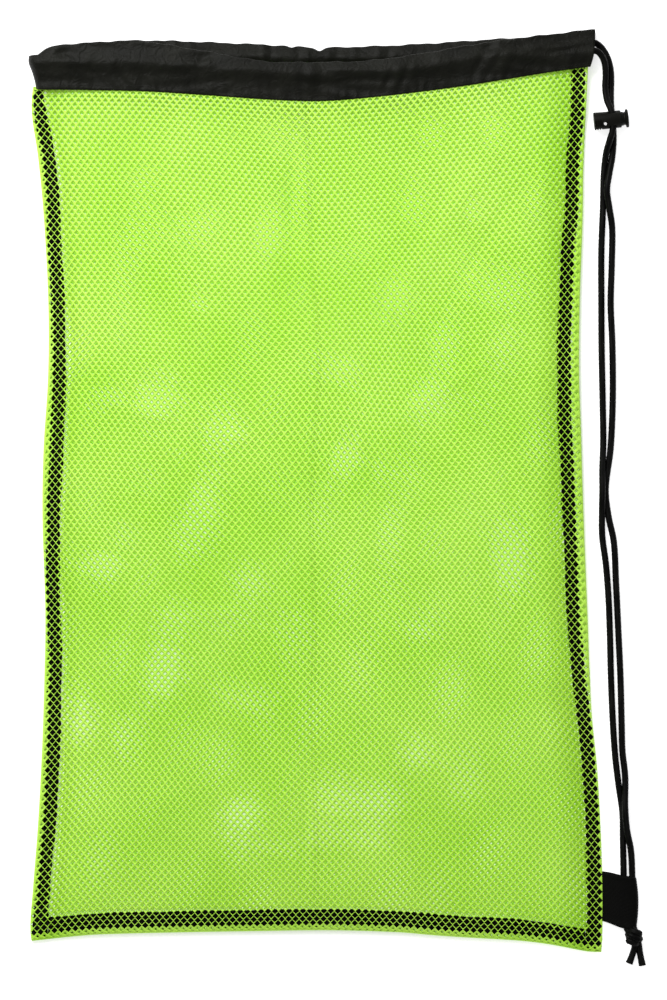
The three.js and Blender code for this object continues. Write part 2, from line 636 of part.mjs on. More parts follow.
function lockBarrel() {
  const edge = 0.6;
  const grooves = GRIP_GROOVES.flatMap((at) => [
    [LOCK_RADIUS, at - GROOVE_HALF_WIDTH],
    [LOCK_RADIUS - GROOVE_DEPTH, at],
    [LOCK_RADIUS, at + GROOVE_HALF_WIDTH],
  ]);
  const barrel = lathe([
    [0, 0],
    [LOCK_RADIUS - edge, 0],
    [LOCK_RADIUS, edge],
    ...grooves,
    [LOCK_RADIUS, LOCK_LENGTH - edge],
    [LOCK_RADIUS - edge / 2, LOCK_LENGTH],
    [BORE_RADIUS, LOCK_LENGTH],
    [BORE_RADIUS, BORE_FLOOR],
    [0, BORE_FLOOR],
  ]);
  const { at, halfWidth, halfHeight } = CORD_SLOT;
  const through = 4 * LOCK_RADIUS;   // longer than the barrel is wide
  const slot = boxAt([through, 2 * halfWidth, 2 * halfHeight], [0, at, 0]);
  const eyelet = new THREE.CylinderGeometry(EYELET.radius, EYELET.radius, through, 10);
  eyelet.rotateX(Math.PI / 2);
  eyelet.translate(-EYELET.side, EYELET.at, 0);
  return geometryOf(solid(barrel).subtract(solid(slot)).subtract(solid(eyelet)));
}

// A button and neck with two flat prongs that run above and below the cords.
function lockPlunger() {
  const { from, to, radius } = BUTTON;
  const edge = 0.4;
  const blank = lathe([
    [0, PLUNGER_TIP],
    [PLUNGER_RADIUS, PLUNGER_TIP],
    [PLUNGER_RADIUS, from],
    [radius - edge, from],
    [radius, from + edge],
    [radius, to - edge],
    [radius - edge, to],
    [0, to],
  ]);
  const { at, halfWidth, halfHeight } = CORD_SLOT;
  const root = at + halfWidth + PLUNGER_TRAVEL;
  const start = PLUNGER_TIP - 1;
  const between = boxAt([4 * radius, root - start, 2 * halfHeight], [0, (root + start) / 2, 0]);
  return geometryOf(solid(blank).subtract(solid(between)));
}

// The bag

const bag = new THREE.Group();

function add(group, name, geometry, material) {
  const mesh = new THREE.Mesh(geometry, material);
  mesh.name = name;
  group.add(mesh);
}

add(bag, 'front_panel', frontPanel(), NET);
add(bag, 'back_panel', backPanel(), NET);
add(bag, 'left_binding', sideBinding(leftEdge, leftInset, 1), TAPE);
add(bag, 'right_binding', sideBinding(rightEdge, rightInset, -1), TAPE);
add(bag, 'bottom_binding', bottomBinding(), TAPE);
add(bag, 'casing', casing(), NYLON);
add(bag, 'drawcord_in_casing', cordInCasing(), CORD);
add(bag, 'drawcord_front_strand', cordTube(FRONT_STRAND, STRAND_STEPS), CORD);
add(bag, 'drawcord_back_strand', cordTube(BACK_STRAND, STRAND_STEPS), CORD);
add(bag, 'drawcord_knot', knot(), CORD);

const tab = new THREE.Group();
tab.position.set(TAB_ROOT.x, TAB_ROOT.y, 0);
add(tab, 'cord_tab', cordTab(), TAPE);
bag.add(tab);

const lock = new THREE.Group();
lock.position.copy(LOCK_END);
lock.rotation.z = LOCK_TILT - Math.PI / 2;
add(lock, 'lock_barrel', lockBarrel(), PLASTIC);
add(lock, 'lock_plunger', lockPlunger(), PLASTIC);
bag.add(lock);

export default bag;
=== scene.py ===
"""A mesh drawstring swim bag laid flat: lime net, black taped seams, gathered casing, drawcord and cord lock.

Metres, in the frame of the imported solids: +X to the bag's right, +Y to its mouth, +Z up off the surface.
"""

import bpy
import numpy as np
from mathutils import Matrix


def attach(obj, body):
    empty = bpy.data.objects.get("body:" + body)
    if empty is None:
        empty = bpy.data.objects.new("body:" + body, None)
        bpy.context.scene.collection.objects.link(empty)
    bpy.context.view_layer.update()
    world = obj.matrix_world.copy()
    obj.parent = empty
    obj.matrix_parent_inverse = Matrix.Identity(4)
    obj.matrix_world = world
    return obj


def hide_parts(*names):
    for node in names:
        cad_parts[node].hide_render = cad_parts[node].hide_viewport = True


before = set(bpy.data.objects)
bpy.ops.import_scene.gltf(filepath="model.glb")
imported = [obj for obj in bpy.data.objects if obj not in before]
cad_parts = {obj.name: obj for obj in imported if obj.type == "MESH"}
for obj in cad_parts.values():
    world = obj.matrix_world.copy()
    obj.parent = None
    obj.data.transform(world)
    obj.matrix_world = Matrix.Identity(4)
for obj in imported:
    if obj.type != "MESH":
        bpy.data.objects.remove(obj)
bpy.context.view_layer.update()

# Sizes of the bag

NET_COLUMNS = 164                               # half meshes across a panel
NET_ROWS = 206                                  # rows of meshes up it
NET_WALL = 0.0012
GAP = 0.00035                                   # between pieces that lie on or beside each other
TAPE_WIDTH = 0.0106
TAPE_THICK = 0.0015
TAPE_STEP = NET_WALL + TAPE_THICK + 2 * GAP     # the front net's height over the tape
SEAM_LIFT = NET_WALL + GAP                      # and at the seam itself
SEAM_ROLL = 0.0014                              # from its edge, the net comes up onto the tape over this
TAPE_END_INSET = 0.0008                         # the side tapes end this far above the bottom edge
BOTTOM_TAPE_WIDTH = 0.0130
BOTTOM_TAPE_INSET = 0.0031
PUFF = 0.011                                    # how far the front net stands off the back net
PUFF_REACH = 0.022                              # from a seam, where it has nearly two thirds of that
MOUTH_REACH = 0.090                             # from the hem, where it starts to the casing's height
SEAM_TOP_RISE = 0.0042                          # the side seams' rise at the hem,
SEAM_RISE_LENGTH = 0.045                        # over this length below it
SEAM_CURL = 0.018                               # and this far in from the seam
TAPE_TOP_SLACK = 0.0007                         # the side tapes lie off the back net at the top,
TAPE_SLACK_SHARE = 1 / 3                        # fully from this share of the rise
NET_TUCK = 0.0014                               # the front net's upper edge is sewn this far into the hem
BACK_HEM_RISE = 0.0016                          # the back half's hem lies this far above the front half's
BACK_TUCK = NET_TUCK + BACK_HEM_RISE

CASING_WALL = 0.001
CASING_HALF = 0.0012                            # half the flat band's thickness
CORD_BULGE = 0.0032                             # the cord's swell in the front half's upper face,
BULGE_SPREAD = 0.0065                           # its half width,
BULGE_SHARE = 1.35                              # and both faces' swell together, of that one
CASING_RIGHT = 0.193
CASING_LEFT = -0.216
RIGHT_SLANT = 0.0036                            # how far the rim leans, towards +X, at each end
LEFT_SLANT = -0.0052
HEM_STITCH = 0.0032                             # the channel starts this far above the hem
RIM_ROUND = 0.0008

CORD_DIAMETER = 0.0050

# Left and right edges of the net, up the bag
OUTLINE = dict(
    y=[-0.347, -0.330, -0.300, -0.255, -0.210, -0.165, -0.095, -0.020,
       0.030, 0.085, 0.140, 0.205, 0.250, 0.287, 0.320],
    left=[-0.2250, -0.2274, -0.2254, -0.2218, -0.2192, -0.2174, -0.2160, -0.2182,
          -0.2174, -0.2140, -0.2138, -0.2172, -0.2215, -0.2263, -0.2225],
    right=[0.2016, 0.2024, 0.2026, 0.2010, 0.1985, 0.1941, 0.1913, 0.1883,
           0.1867, 0.1850, 0.1854, 0.1876, 0.1882, 0.1901, 0.1915],
)

# Bottom edge of the net, across the bag
BOTTOM_EDGE = dict(
    x=[-0.228, -0.197, -0.175, -0.107, -0.062, -0.002, 0.050,
       0.073, 0.095, 0.140, 0.163, 0.186, 0.193, 0.203],
    y=[-0.3389, -0.3355, -0.3338, -0.3321, -0.3314, -0.3307, -0.3322,
       -0.3342, -0.3358, -0.3385, -0.3413, -0.3457, -0.3468, -0.3470],
)

# How far the bound seam allowances lie inside the net's edges, up the bag
LEFT_INSET = dict(
    y=[-0.345, -0.322, -0.300, -0.248, -0.210, -0.172, -0.135, -0.097, -0.060, -0.022,
       0.015, 0.052, 0.090, 0.128, 0.165, 0.203, 0.240, 0.278, 0.293, 0.320],
    inset=[0.0005, 0.0017, 0.0024, 0.0028, 0.0033, 0.0027, 0.0024, 0.0011, 0.0011, 0.0029,
           0.0041, 0.0042, 0.0026, 0.0019, 0.0016, 0.0018, 0.0026, 0.0017, 0.0012, 0.0010],
)
RIGHT_INSET = dict(
    y=[-0.345, -0.210, -0.157, -0.112, -0.020, 0.052, 0.172, 0.218, 0.255, 0.278, 0.320],
    inset=[0.0003, 0.0006, 0.0014, 0.0046, 0.0054, 0.0064, 0.0050, 0.0032, 0.0020, 0.0016, 0.0015],
)

# The casing across the bag: its hem, its two rims, the front half's height, and the cord in each half
CASING = dict(
    x=[-0.216, -0.2075, -0.200, -0.190, -0.145, -0.100, -0.050,
       -0.010, 0.028, 0.065, 0.110, 0.156, 0.192],
    hem=[0.2997, 0.2997, 0.2996, 0.2995, 0.2984, 0.2957, 0.2920,
         0.2908, 0.2935, 0.2978, 0.3041, 0.3119, 0.3172],
    front_rim=[0.3268, 0.3318, 0.3337, 0.3346, 0.3366, 0.3300, 0.3212,
               0.3206, 0.3218, 0.3270, 0.3350, 0.3414, 0.3460],
    back_rim=[0.3276, 0.3331, 0.3350, 0.3358, 0.3382, 0.3372, 0.3350,
              0.3330, 0.3337, 0.3355, 0.3385, 0.3416, 0.3456],
    lift=[0.0124, 0.0128, 0.0131, 0.0136, 0.0156, 0.0170, 0.0178,
          0.0180, 0.0178, 0.0170, 0.0152, 0.0124, 0.0098],
    front_cord=[0.3195, 0.3197, 0.3198, 0.3200, 0.3200, 0.3170, 0.3126,
                0.3116, 0.3128, 0.3170, 0.3230, 0.3270, 0.3285],
    back_cord=[0.3205, 0.3216, 0.3230, 0.3245, 0.3275, 0.3265, 0.3250,
               0.3240, 0.3250, 0.3265, 0.3295, 0.3332, 0.3366],
)

# Broad gathers of the casing: place along the bag, width, lean towards the rim, and rise or dip
GATHERS = [
    (-0.178, 0.013, 0.5, -0.0009),
    (-0.140, 0.015, -0.4, 0.0008),
    (-0.104, 0.012, 0.3, -0.0008),
    (-0.062, 0.014, -0.2, 0.0007),
    (-0.009, 0.011, 0.1, -0.0011),
    (0.038, 0.014, 0.4, 0.0009),
    (0.078, 0.012, -0.5, -0.0009),
    (0.118, 0.015, 0.5, 0.0009),
    (0.158, 0.012, 0.2, -0.0007),
]

# Soft folds of the front net: middle x and y, heading from +Y in degrees, half length, half width, rise
NET_FOLDS = [
    (-0.026, 0.225, 2, 0.085, 0.012, -0.0024),
    (-0.118, 0.240, -12, 0.070, 0.022, 0.0016),
    (0.082, 0.235, 14, 0.080, 0.020, 0.0014),
    (-0.160, 0.060, -6, 0.120, 0.024, 0.0012),
    (0.132, 0.020, 8, 0.130, 0.022, -0.0014),
    (-0.070, -0.140, 25, 0.090, 0.026, -0.0013),
    (0.090, -0.215, -30, 0.095, 0.024, 0.0015),
    (-0.150, -0.260, 40, 0.070, 0.018, 0.0012),
]

# Creases of the casing's front half: x, y, heading from +Y in degrees, half length, half width, rise
FRONT_CREASES = [
    (-0.204, 0.3285, 55, 0.008, 0.0024, 0.0009),
    (-0.196, 0.3280, 60, 0.006, 0.0030, -0.0010),
    (-0.180, 0.3220, 32, 0.006, 0.0022, 0.0007),
    (-0.175, 0.3085, -36, 0.008, 0.0020, -0.0009),
    (-0.163, 0.3180, 20, 0.008, 0.0024, 0.0008),
    (-0.163, 0.3075, -27, 0.009, 0.0021, 0.0010),
    (-0.157, 0.3055, -27, 0.007, 0.0020, -0.0009),
    (-0.151, 0.3070, -31, 0.008, 0.0021, 0.0010),
    (-0.141, 0.3050, -12, 0.007, 0.0022, -0.0008),
    (-0.135, 0.3060, -10, 0.008, 0.0022, 0.0009),
    (-0.118, 0.3040, -25, 0.007, 0.0022, -0.0006),
    (-0.110, 0.3050, -27, 0.008, 0.0022, 0.0009),
    (-0.096, 0.3210, 50, 0.006, 0.0026, -0.0011),
    (-0.091, 0.3170, 0, 0.006, 0.0022, 0.0008),
    (-0.060, 0.3060, 80, 0.022, 0.0028, -0.0007),
    (-0.022, 0.3080, 8, 0.009, 0.0036, -0.0010),
    (-0.016, 0.3090, 10, 0.010, 0.0045, 0.0013),
    (0.012, 0.3060, 86, 0.020, 0.0026, -0.0008),
    (0.018, 0.3145, 88, 0.022, 0.0022, 0.0007),
    (0.036, 0.3070, 20, 0.007, 0.0019, 0.0009),
    (0.041, 0.3060, 17, 0.007, 0.0019, -0.0010),
    (0.047, 0.3080, 15, 0.008, 0.0020, 0.0010),
    (0.053, 0.3090, 14, 0.008, 0.0020, -0.0010),
    (0.059, 0.3110, 12, 0.009, 0.0021, 0.0009),
    (0.080, 0.3160, -22, 0.011, 0.0035, 0.0008),
    (0.091, 0.3170, -17, 0.011, 0.0035, -0.0008),
    (0.110, 0.3230, 27, 0.013, 0.0032, -0.0013),
    (0.118, 0.3240, 29, 0.013, 0.0030, 0.0012),
    (0.126, 0.3200, 17, 0.010, 0.0042, 0.0014),
    (0.133, 0.3200, 14, 0.009, 0.0032, -0.0009),
    (0.152, 0.3330, 72, 0.016, 0.0026, 0.0007),
    (0.170, 0.3290, 82, 0.020, 0.0026, -0.0012),
    (0.176, 0.3340, 80, 0.016, 0.0022, 0.0010),
    (0.184, 0.3230, 84, 0.012, 0.0022, 0.0006),
]

# Creases of the casing's back half, seen above the front rim
BACK_CREASES = [
    (-0.196, 0.3310, 45, 0.007, 0.0024, 0.0009),
    (-0.190, 0.3300, 50, 0.006, 0.0026, -0.0010),
    (-0.150, 0.3330, 4, 0.008, 0.0022, 0.0008),
    (-0.128, 0.3320, -4, 0.008, 0.0024, 0.0009),
    (-0.122, 0.3310, -2, 0.008, 0.0022, -0.0008),
    (-0.116, 0.3320, 3, 0.008, 0.0024, 0.0009),
    (-0.104, 0.3310, 0, 0.008, 0.0024, 0.0009),
    (-0.051, 0.3290, 2, 0.009, 0.0021, 0.0010),
    (-0.045, 0.3280, 0, 0.009, 0.0022, -0.0013),
    (-0.025, 0.3280, -3, 0.009, 0.0024, -0.0010),
    (-0.018, 0.3270, -5, 0.009, 0.0024, 0.0010),
    (-0.003, 0.3270, 6, 0.009, 0.0022, 0.0010),
    (0.004, 0.3280, 4, 0.009, 0.0022, -0.0009),
    (0.016, 0.3290, -4, 0.009, 0.0024, 0.0008),
    (0.034, 0.3300, 8, 0.009, 0.0024, 0.0009),
    (0.042, 0.3300, 6, 0.009, 0.0022, -0.0009),
    (0.104, 0.3340, 12, 0.008, 0.0024, 0.0008),
]

# Pinches in the back rim: place, half width and depth
RIM_NOTCHES = [(-0.0094, 0.0034, 0.0029), (-0.0300, 0.0026, 0.0012)]

# Free strand from the casing's front half: the upper cord in the lock, down the bag's side, to the knot
FRONT_STRAND = [
    (0.1974, 0.3290, 0.0108), (0.2010, 0.3262, 0.0098), (0.2038, 0.3205, 0.0076),
    (0.2047, 0.3115, 0.0057), (0.2043, 0.3020, 0.0057), (0.2057, 0.2920, 0.0075),
    (0.2084, 0.2852, 0.0090), (0.2095, 0.2782, 0.0091), (0.2098, 0.2700, 0.0090),
    (0.2078, 0.2630, 0.0078), (0.2054, 0.2545, 0.0050), (0.2042, 0.2460, 0.0026),
    (0.2034, 0.2360, 0.0023), (0.2028, 0.2120, 0.0023), (0.2016, 0.1800, 0.0023),
    (0.2016, 0.1400, 0.0023), (0.2018, 0.1050, 0.0023), (0.2026, 0.0650, 0.0023),
    (0.2030, 0.0360, 0.0023), (0.2022, 0.0140, 0.0048), (0.2022, 0.0000, 0.0065),
    (0.2020, -0.0140, 0.0050), (0.2022, -0.0340, 0.0023), (0.2050, -0.0560, 0.0023),
    (0.2069, -0.0800, 0.0023), (0.2080, -0.1080, 0.0023), (0.2088, -0.1400, 0.0023),
    (0.2100, -0.1700, 0.0023), (0.2120, -0.2000, 0.0023), (0.2146, -0.2220, 0.0023),
    (0.2174, -0.2420, 0.0023), (0.2178, -0.2620, 0.0024), (0.2182, -0.2840, 0.0033),
    (0.2186, -0.3040, 0.0034), (0.2194, -0.3200, 0.0034), (0.2210, -0.3306, 0.0040),
]

# Free strand from the casing's back half: the lower cord in the lock, to the knot
BACK_STRAND = [
    (0.1974, 0.3354, 0.0034), (0.2018, 0.3320, 0.0028), (0.2058, 0.3255, 0.0024),
    (0.2082, 0.3175, 0.0023), (0.2089, 0.3095, 0.0023), (0.2087, 0.3000, 0.0024),
    (0.2086, 0.2910, 0.0042), (0.2090, 0.2852, 0.0049), (0.2097, 0.2782, 0.00495),
    (0.2105, 0.2690, 0.0043), (0.2106, 0.2610, 0.0030), (0.2097, 0.2500, 0.0028),
    (0.2075, 0.2380, 0.0044), (0.2056, 0.2250, 0.0064), (0.2074, 0.2120, 0.0048),
    (0.2096, 0.1980, 0.0023), (0.2094, 0.1700, 0.0023), (0.2086, 0.1400, 0.0023),
    (0.2098, 0.1100, 0.0023), (0.2102, 0.0750, 0.0023), (0.2096, 0.0500, 0.0023),
    (0.2084, 0.0300, 0.0023), (0.2048, 0.0000, 0.0023), (0.2070, -0.0200, 0.0023),
    (0.2108, -0.0380, 0.0023), (0.2126, -0.0700, 0.0023), (0.2143, -0.1050, 0.0023),
    (0.2159, -0.1400, 0.0023), (0.2168, -0.1750, 0.0023), (0.2174, -0.1960, 0.0023),
    (0.2194, -0.2150, 0.0030), (0.2192, -0.2380, 0.0065), (0.2206, -0.2550, 0.0063),
    (0.2236, -0.2700, 0.0043), (0.2246, -0.2860, 0.0034), (0.2248, -0.3050, 0.0034),
    (0.2248, -0.3200, 0.0034), (0.2256, -0.3286, 0.0038),
]

# Where each strand comes from, inside the casing's right end
FRONT_START = [(0.1850, 0.3280, 0.0113), (0.1920, 0.3288, 0.0110)]
BACK_START = [(0.1850, 0.3352, 0.0034), (0.1920, 0.3362, 0.0034)]

# Sharper creases of the front net: middle x and y, heading from +Y in degrees, half length, half width, rise
NET_CREASES = [
    (-0.0325, 0.235, 0, 0.050, 0.0035, -0.0020),
    (-0.0210, 0.220, -2, 0.040, 0.0050, 0.0018),
    (-0.1070, 0.180, -37, 0.075, 0.0050, -0.0016),
    (-0.1180, 0.186, -35, 0.060, 0.0060, 0.0012),
    (-0.1580, 0.165, -14, 0.035, 0.0060, 0.0015),
    (0.0950, 0.214, 32, 0.080, 0.0090, 0.0018),
    (0.1100, 0.180, 32, 0.060, 0.0060, -0.0014),
    (0.1510, 0.214, 20, 0.030, 0.0060, 0.0014),
    (0.0880, 0.079, 55, 0.045, 0.0070, 0.0016),
    (0.1400, -0.019, -19, 0.065, 0.0050, -0.0015),
    (0.1290, -0.026, -19, 0.060, 0.0050, 0.0013),
    (-0.1670, -0.120, -13, 0.068, 0.0045, -0.0015),
    (-0.1860, -0.172, -8, 0.030, 0.0050, 0.0015),
    (-0.1330, 0.058, -80, 0.020, 0.0060, 0.0013),
    (-0.0730, 0.041, -75, 0.015, 0.0060, 0.0013),
    (-0.0810, -0.092, 85, 0.035, 0.0060, 0.0012),
    (-0.0220, -0.253, 1, 0.055, 0.0035, -0.0013),
    (-0.0470, -0.240, 0, 0.025, 0.0140, 0.0012),
]

# Where the two nets' meshes lie in line, so that the surface shows through: middle, half width, half height,
# and how far they come into line
CLEAR_PATCHES = [
    (-0.160, 0.169, 0.012, 0.030, 0.6),
    (-0.148, 0.236, 0.014, 0.012, 0.7),
    (-0.166, 0.070, 0.013, 0.008, 0.7),
    (-0.133, 0.066, 0.018, 0.012, 0.8),
    (-0.126, 0.042, 0.018, 0.006, 0.6),
    (-0.130, 0.014, 0.011, 0.012, 0.6),
    (-0.152, -0.033, 0.012, 0.010, 0.5),
    (-0.170, -0.054, 0.015, 0.008, 0.7),
    (-0.100, 0.198, 0.020, 0.012, 0.7),
    (-0.100, 0.141, 0.006, 0.007, 0.9),
    (-0.081, 0.043, 0.013, 0.008, 0.7),
    (-0.093, -0.010, 0.011, 0.022, 0.6),
    (-0.062, -0.070, 0.017, 0.013, 0.6),
    (-0.056, 0.268, 0.022, 0.016, 0.8),
    (-0.051, 0.187, 0.010, 0.012, 0.8),
    (-0.021, 0.220, 0.009, 0.030, 0.7),
    (0.021, 0.178, 0.017, 0.012, 0.7),
    (0.049, 0.287, 0.011, 0.007, 0.8),
    (0.073, 0.266, 0.012, 0.012, 0.8),
    (0.117, 0.271, 0.006, 0.007, 0.7),
    (0.063, 0.210, 0.012, 0.016, 0.7),
    (0.050, 0.146, 0.014, 0.020, 0.8),
    (0.104, 0.213, 0.007, 0.008, 0.8),
    (0.147, 0.217, 0.010, 0.015, 0.8),
    (0.122, 0.149, 0.017, 0.015, 0.7),
    (0.087, 0.110, 0.012, 0.017, 0.6),
    (0.128, 0.106, 0.014, 0.017, 0.8),
    (0.064, 0.070, 0.027, 0.013, 0.8),
    (0.002, 0.086, 0.013, 0.011, 0.7),
    (0.009, 0.022, 0.013, 0.012, 0.8),
    (0.032, 0.016, 0.008, 0.012, 0.7),
    (0.038, -0.026, 0.011, 0.017, 0.6),
    (0.124, -0.041, 0.016, 0.026, 0.7),
    (-0.094, -0.096, 0.032, 0.013, 0.7),
    (-0.129, -0.138, 0.011, 0.016, 0.9),
    (-0.188, -0.180, 0.009, 0.016, 0.7),
    (-0.163, -0.187, 0.007, 0.014, 0.5),
    (-0.064, -0.155, 0.015, 0.010, 0.5),
    (-0.066, -0.238, 0.014, 0.012, 0.7),
    (-0.042, -0.266, 0.016, 0.008, 0.6),
    (0.056, -0.110, 0.010, 0.008, 0.6),
    (0.062, -0.200, 0.012, 0.011, 0.7),
    (0.034, -0.232, 0.028, 0.013, 0.6),
    (0.006, -0.262, 0.028, 0.010, 0.6),
]


# Camera, straight above the middle of the picture

PICTURE_HEIGHT = 0.750
SENSOR = 36
LENS = 180
PICTURE_MIDDLE = (0.0004, -0.0075)
MATCHED_HEIGHT = 0.008                          # the level that is seen at the picture's scale
VIEW_HEIGHT = PICTURE_HEIGHT * LENS / SENSOR    # the camera's height above it

camera_data = bpy.data.cameras.new("camera")
camera_data.lens = LENS
camera_data.sensor_fit = "VERTICAL"
camera_data.sensor_height = SENSOR
camera = bpy.data.objects.new("camera", camera_data)
camera.location = (*PICTURE_MIDDLE, MATCHED_HEIGHT + VIEW_HEIGHT)
bpy.context.collection.objects.link(camera)
bpy.context.scene.camera = camera


# Meshes

def make_piece(name, points, faces, corner_uv=None):
    """A mesh object from an array of points and arrays of quads or triangles.

    Its faces are turned out: the volume is the sum of the corner products of all triangles, and where that
    is negative every face is reversed. corner_uv holds one array for each array of faces.
    """
    fans = [f[:, [0, k, k + 1]] for f in faces for k in range(1, f.shape[1] - 1)]
    a, b, c = np.moveaxis(points[np.concatenate(fans)], 1, 0)
    if np.sum(a * np.cross(b, c)) < 0:
        faces = [f[:, ::-1] for f in faces]
        corner_uv = corner_uv and [uv[:, ::-1] for uv in corner_uv]
    corners = np.concatenate([f.ravel() for f in faces])
    sizes = np.concatenate([np.full(len(f), f.shape[1]) for f in faces])
    mesh = bpy.data.meshes.new(name)
    mesh.vertices.add(len(points))
    mesh.vertices.foreach_set("co", points.astype(np.float32).ravel())
    mesh.loops.add(len(corners))
    mesh.loops.foreach_set("vertex_index", corners.astype(np.int32))
    mesh.polygons.add(len(sizes))
    mesh.polygons.foreach_set("loop_start", (np.cumsum(sizes) - sizes).astype(np.int32))
    mesh.polygons.foreach_set("use_smooth", np.full(len(sizes), True))
    if corner_uv:
        layer = mesh.uv_layers.new(name="weave")
        layer.data.foreach_set("uv", np.concatenate([uv.ravel() for uv in corner_uv]).astype(np.float32))
    mesh.update(calc_edges=True)
    mesh.validate()
    piece = bpy.data.objects.new(name, mesh)
    bpy.context.collection.objects.link(piece)
    return piece


def unit(vectors):
    """Vectors divided by their lengths."""
    return vectors / np.linalg.norm(vectors, axis=-1, keepdims=True)


def skin(rings, sides, first=0):
    """Quads between neighbouring rings of points, each ring closed, with each corner's ring and side."""
    ring, side = np.meshgrid(np.arange(rings - 1), np.arange(sides), indexing="ij")
    ring = np.stack([ring, ring + 1, ring + 1, ring], axis=-1).reshape(-1, 4)
    side = np.stack([side, side, side + 1, side + 1], axis=-1).reshape(-1, 4)
    return first + ring * sides + side % sides, ring, side


def swept(name, rings, along, around):
    """A closed solid: a skin over rings of points, with each end closed by a fan round its middle.

    along is the length at each ring and around the length round a ring, which give the weave's places.
    """
    count, sides = rings.shape[:2]
    quads, ring, side = skin(count, sides)
    middle = count * sides
    step = np.arange(sides)
    after = (step + 1) % sides
    start = np.stack([np.full(sides, middle), step, after], axis=1)
    end = np.stack([np.full(sides, middle + 1), middle - sides + after, middle - sides + step], axis=1)
    points = np.concatenate([rings.reshape(-1, 3), rings[[0, -1]].mean(axis=1)])
    places = np.stack([along[ring], around * side / sides], axis=-1)
    caps = np.concatenate([start, end])
    return make_piece(name, points, [quads, caps], [places, np.zeros((*caps.shape, 2))])


def curve(at, value):
    """A smooth curve through points: between neighbours a cubic, whose slope at a point is that of the
    line from the point before it to the point after it."""
    at = np.array(at)
    value = np.array(value)
    slope = np.gradient(value, at)
    slope[1:-1] = (value[2:] - value[:-2]) / (at[2:] - at[:-2])

    def read(x):
        held = np.clip(x, at[0], at[-1])
        i = np.clip(np.searchsorted(at, held) - 1, 0, len(at) - 2)
        span = at[i + 1] - at[i]
        t = (held - at[i]) / span
        stay = (1 + 2 * t) * (1 - t) ** 2
        bend = t * (1 - t) ** 2 * slope[i] - t * t * (1 - t) * slope[i + 1]
        return stay * value[i] + (1 - stay) * value[i + 1] + span * bend

    return read


def folds(x, y, table):
    """Long folds, each a ridge or hollow that falls off along and across itself as a bell curve."""
    total = np.zeros(np.broadcast(x, y).shape)
    for middle_x, middle_y, heading, length, width, rise in table:
        turn = np.radians(heading)
        along = (x - middle_x) * np.sin(turn) + (y - middle_y) * np.cos(turn)
        across = (x - middle_x) * np.cos(turn) - (y - middle_y) * np.sin(turn)
        total += rise * np.exp(-(along / length) ** 2 - (across / width) ** 2)
    return total


def ease(x, low, high):
    """0 up to low, 1 from high, and between them three times the square of the share less twice its cube."""
    t = np.clip((x - low) / (high - low), 0, 1)
    return t * t * (3 - 2 * t)


def bell(distance):
    """A bell curve: e to the power of minus the distance squared."""
    return np.exp(-distance ** 2)


def circle(sides):
    """Even angles once round."""
    return np.linspace(0, 2 * np.pi, sides, endpoint=False)


def mix(a, b, share):
    """a at share 0, b at share 1, and evenly between them."""
    return a + (b - a) * share


def lengths(path):
    """How far along a path each of its points lies: the sum of the steps before it."""
    return np.concatenate([[0], np.cumsum(np.linalg.norm(np.diff(path, axis=0), axis=1))])


def waves(at, table):
    """A sum of sine waves: each row has its reach, its turn in a metre and its phase."""
    return sum(reach * np.sin(at * turn + phase) for reach, turn, phase in table)


PATH_STEPS = 24                                 # between two places, before the steps are made even


def smooth_path(places, step):
    """Points a step apart on the centripetal curve through places, whose slope at a place comes from its
    neighbours, weighted by the root of their distances."""
    p = np.array(places)
    p = np.concatenate([[2 * p[0] - p[1]], p, [2 * p[-1] - p[-2]]])
    p0, p1, p2, p3 = p[:-3], p[1:-2], p[2:-1], p[3:]
    root = np.sqrt(np.linalg.norm(np.diff(p, axis=0), axis=1))[:, None]
    d0, d1, d2 = root[:-2], root[1:-1], root[2:]
    leave = d1 * ((p1 - p0) / d0 - (p2 - p0) / (d0 + d1) + (p2 - p1) / d1)
    arrive = d1 * ((p2 - p1) / d1 - (p3 - p1) / (d1 + d2) + (p3 - p2) / d2)
    t = np.linspace(0, 1, PATH_STEPS, endpoint=False)[None, :, None]
    stay = (1 + 2 * t) * (1 - t) ** 2
    fine = stay * p1[:, None] + (1 - stay) * p2[:, None]
    fine = fine + t * (1 - t) ** 2 * leave[:, None] - t * t * (1 - t) * arrive[:, None]
    fine = np.concatenate([fine.reshape(-1, 3), p2[-1:]])
    far = lengths(fine)
    even = np.linspace(0, far[-1], int(round(far[-1] / step)) + 1)
    return np.stack([np.interp(even, far, fine[:, k]) for k in range(3)], axis=1)


# Materials

def finish(name, colour, roughness, **sockets):
    """A material with the values that are the same all over it, and what its pattern is linked to."""
    material = bpy.data.materials.new(name)
    material.use_nodes = True
    shader = material.node_tree.nodes["Principled BSDF"]
    shader.inputs["Base Color"].default_value = (*colour, 1)
    shader.inputs["Roughness"].default_value = roughness
    for socket, value in sockets.items():
        shader.inputs[socket.replace("_", " ")].default_value = value
    return material, material.node_tree, shader


def node(tree, kind, links=(), **settings):
    """A node of a material: settings are its own, and links pairs a socket with a value or another socket."""
    made = tree.nodes.new("ShaderNode" + kind)
    for setting, value in settings.items():
        setattr(made, setting, value)
    for socket, value in dict(links).items():
        if isinstance(value, bpy.types.NodeSocket):
            tree.links.new(value, made.inputs[socket])
        else:
            made.inputs[socket].default_value = value
    return made


def weave_place(tree):
    """Places in the weave, from the mesh's own map."""
    return node(tree, "UVMap", uv_map="weave").outputs["UV"]


def object_place(tree):
    """Places in the piece, in metres."""
    return node(tree, "TexCoord").outputs["Object"]


def scaled(tree, place, scale):
    """Places times a scale each way."""
    return node(tree, "Mapping", {"Vector": place, "Scale": scale}).outputs["Vector"]


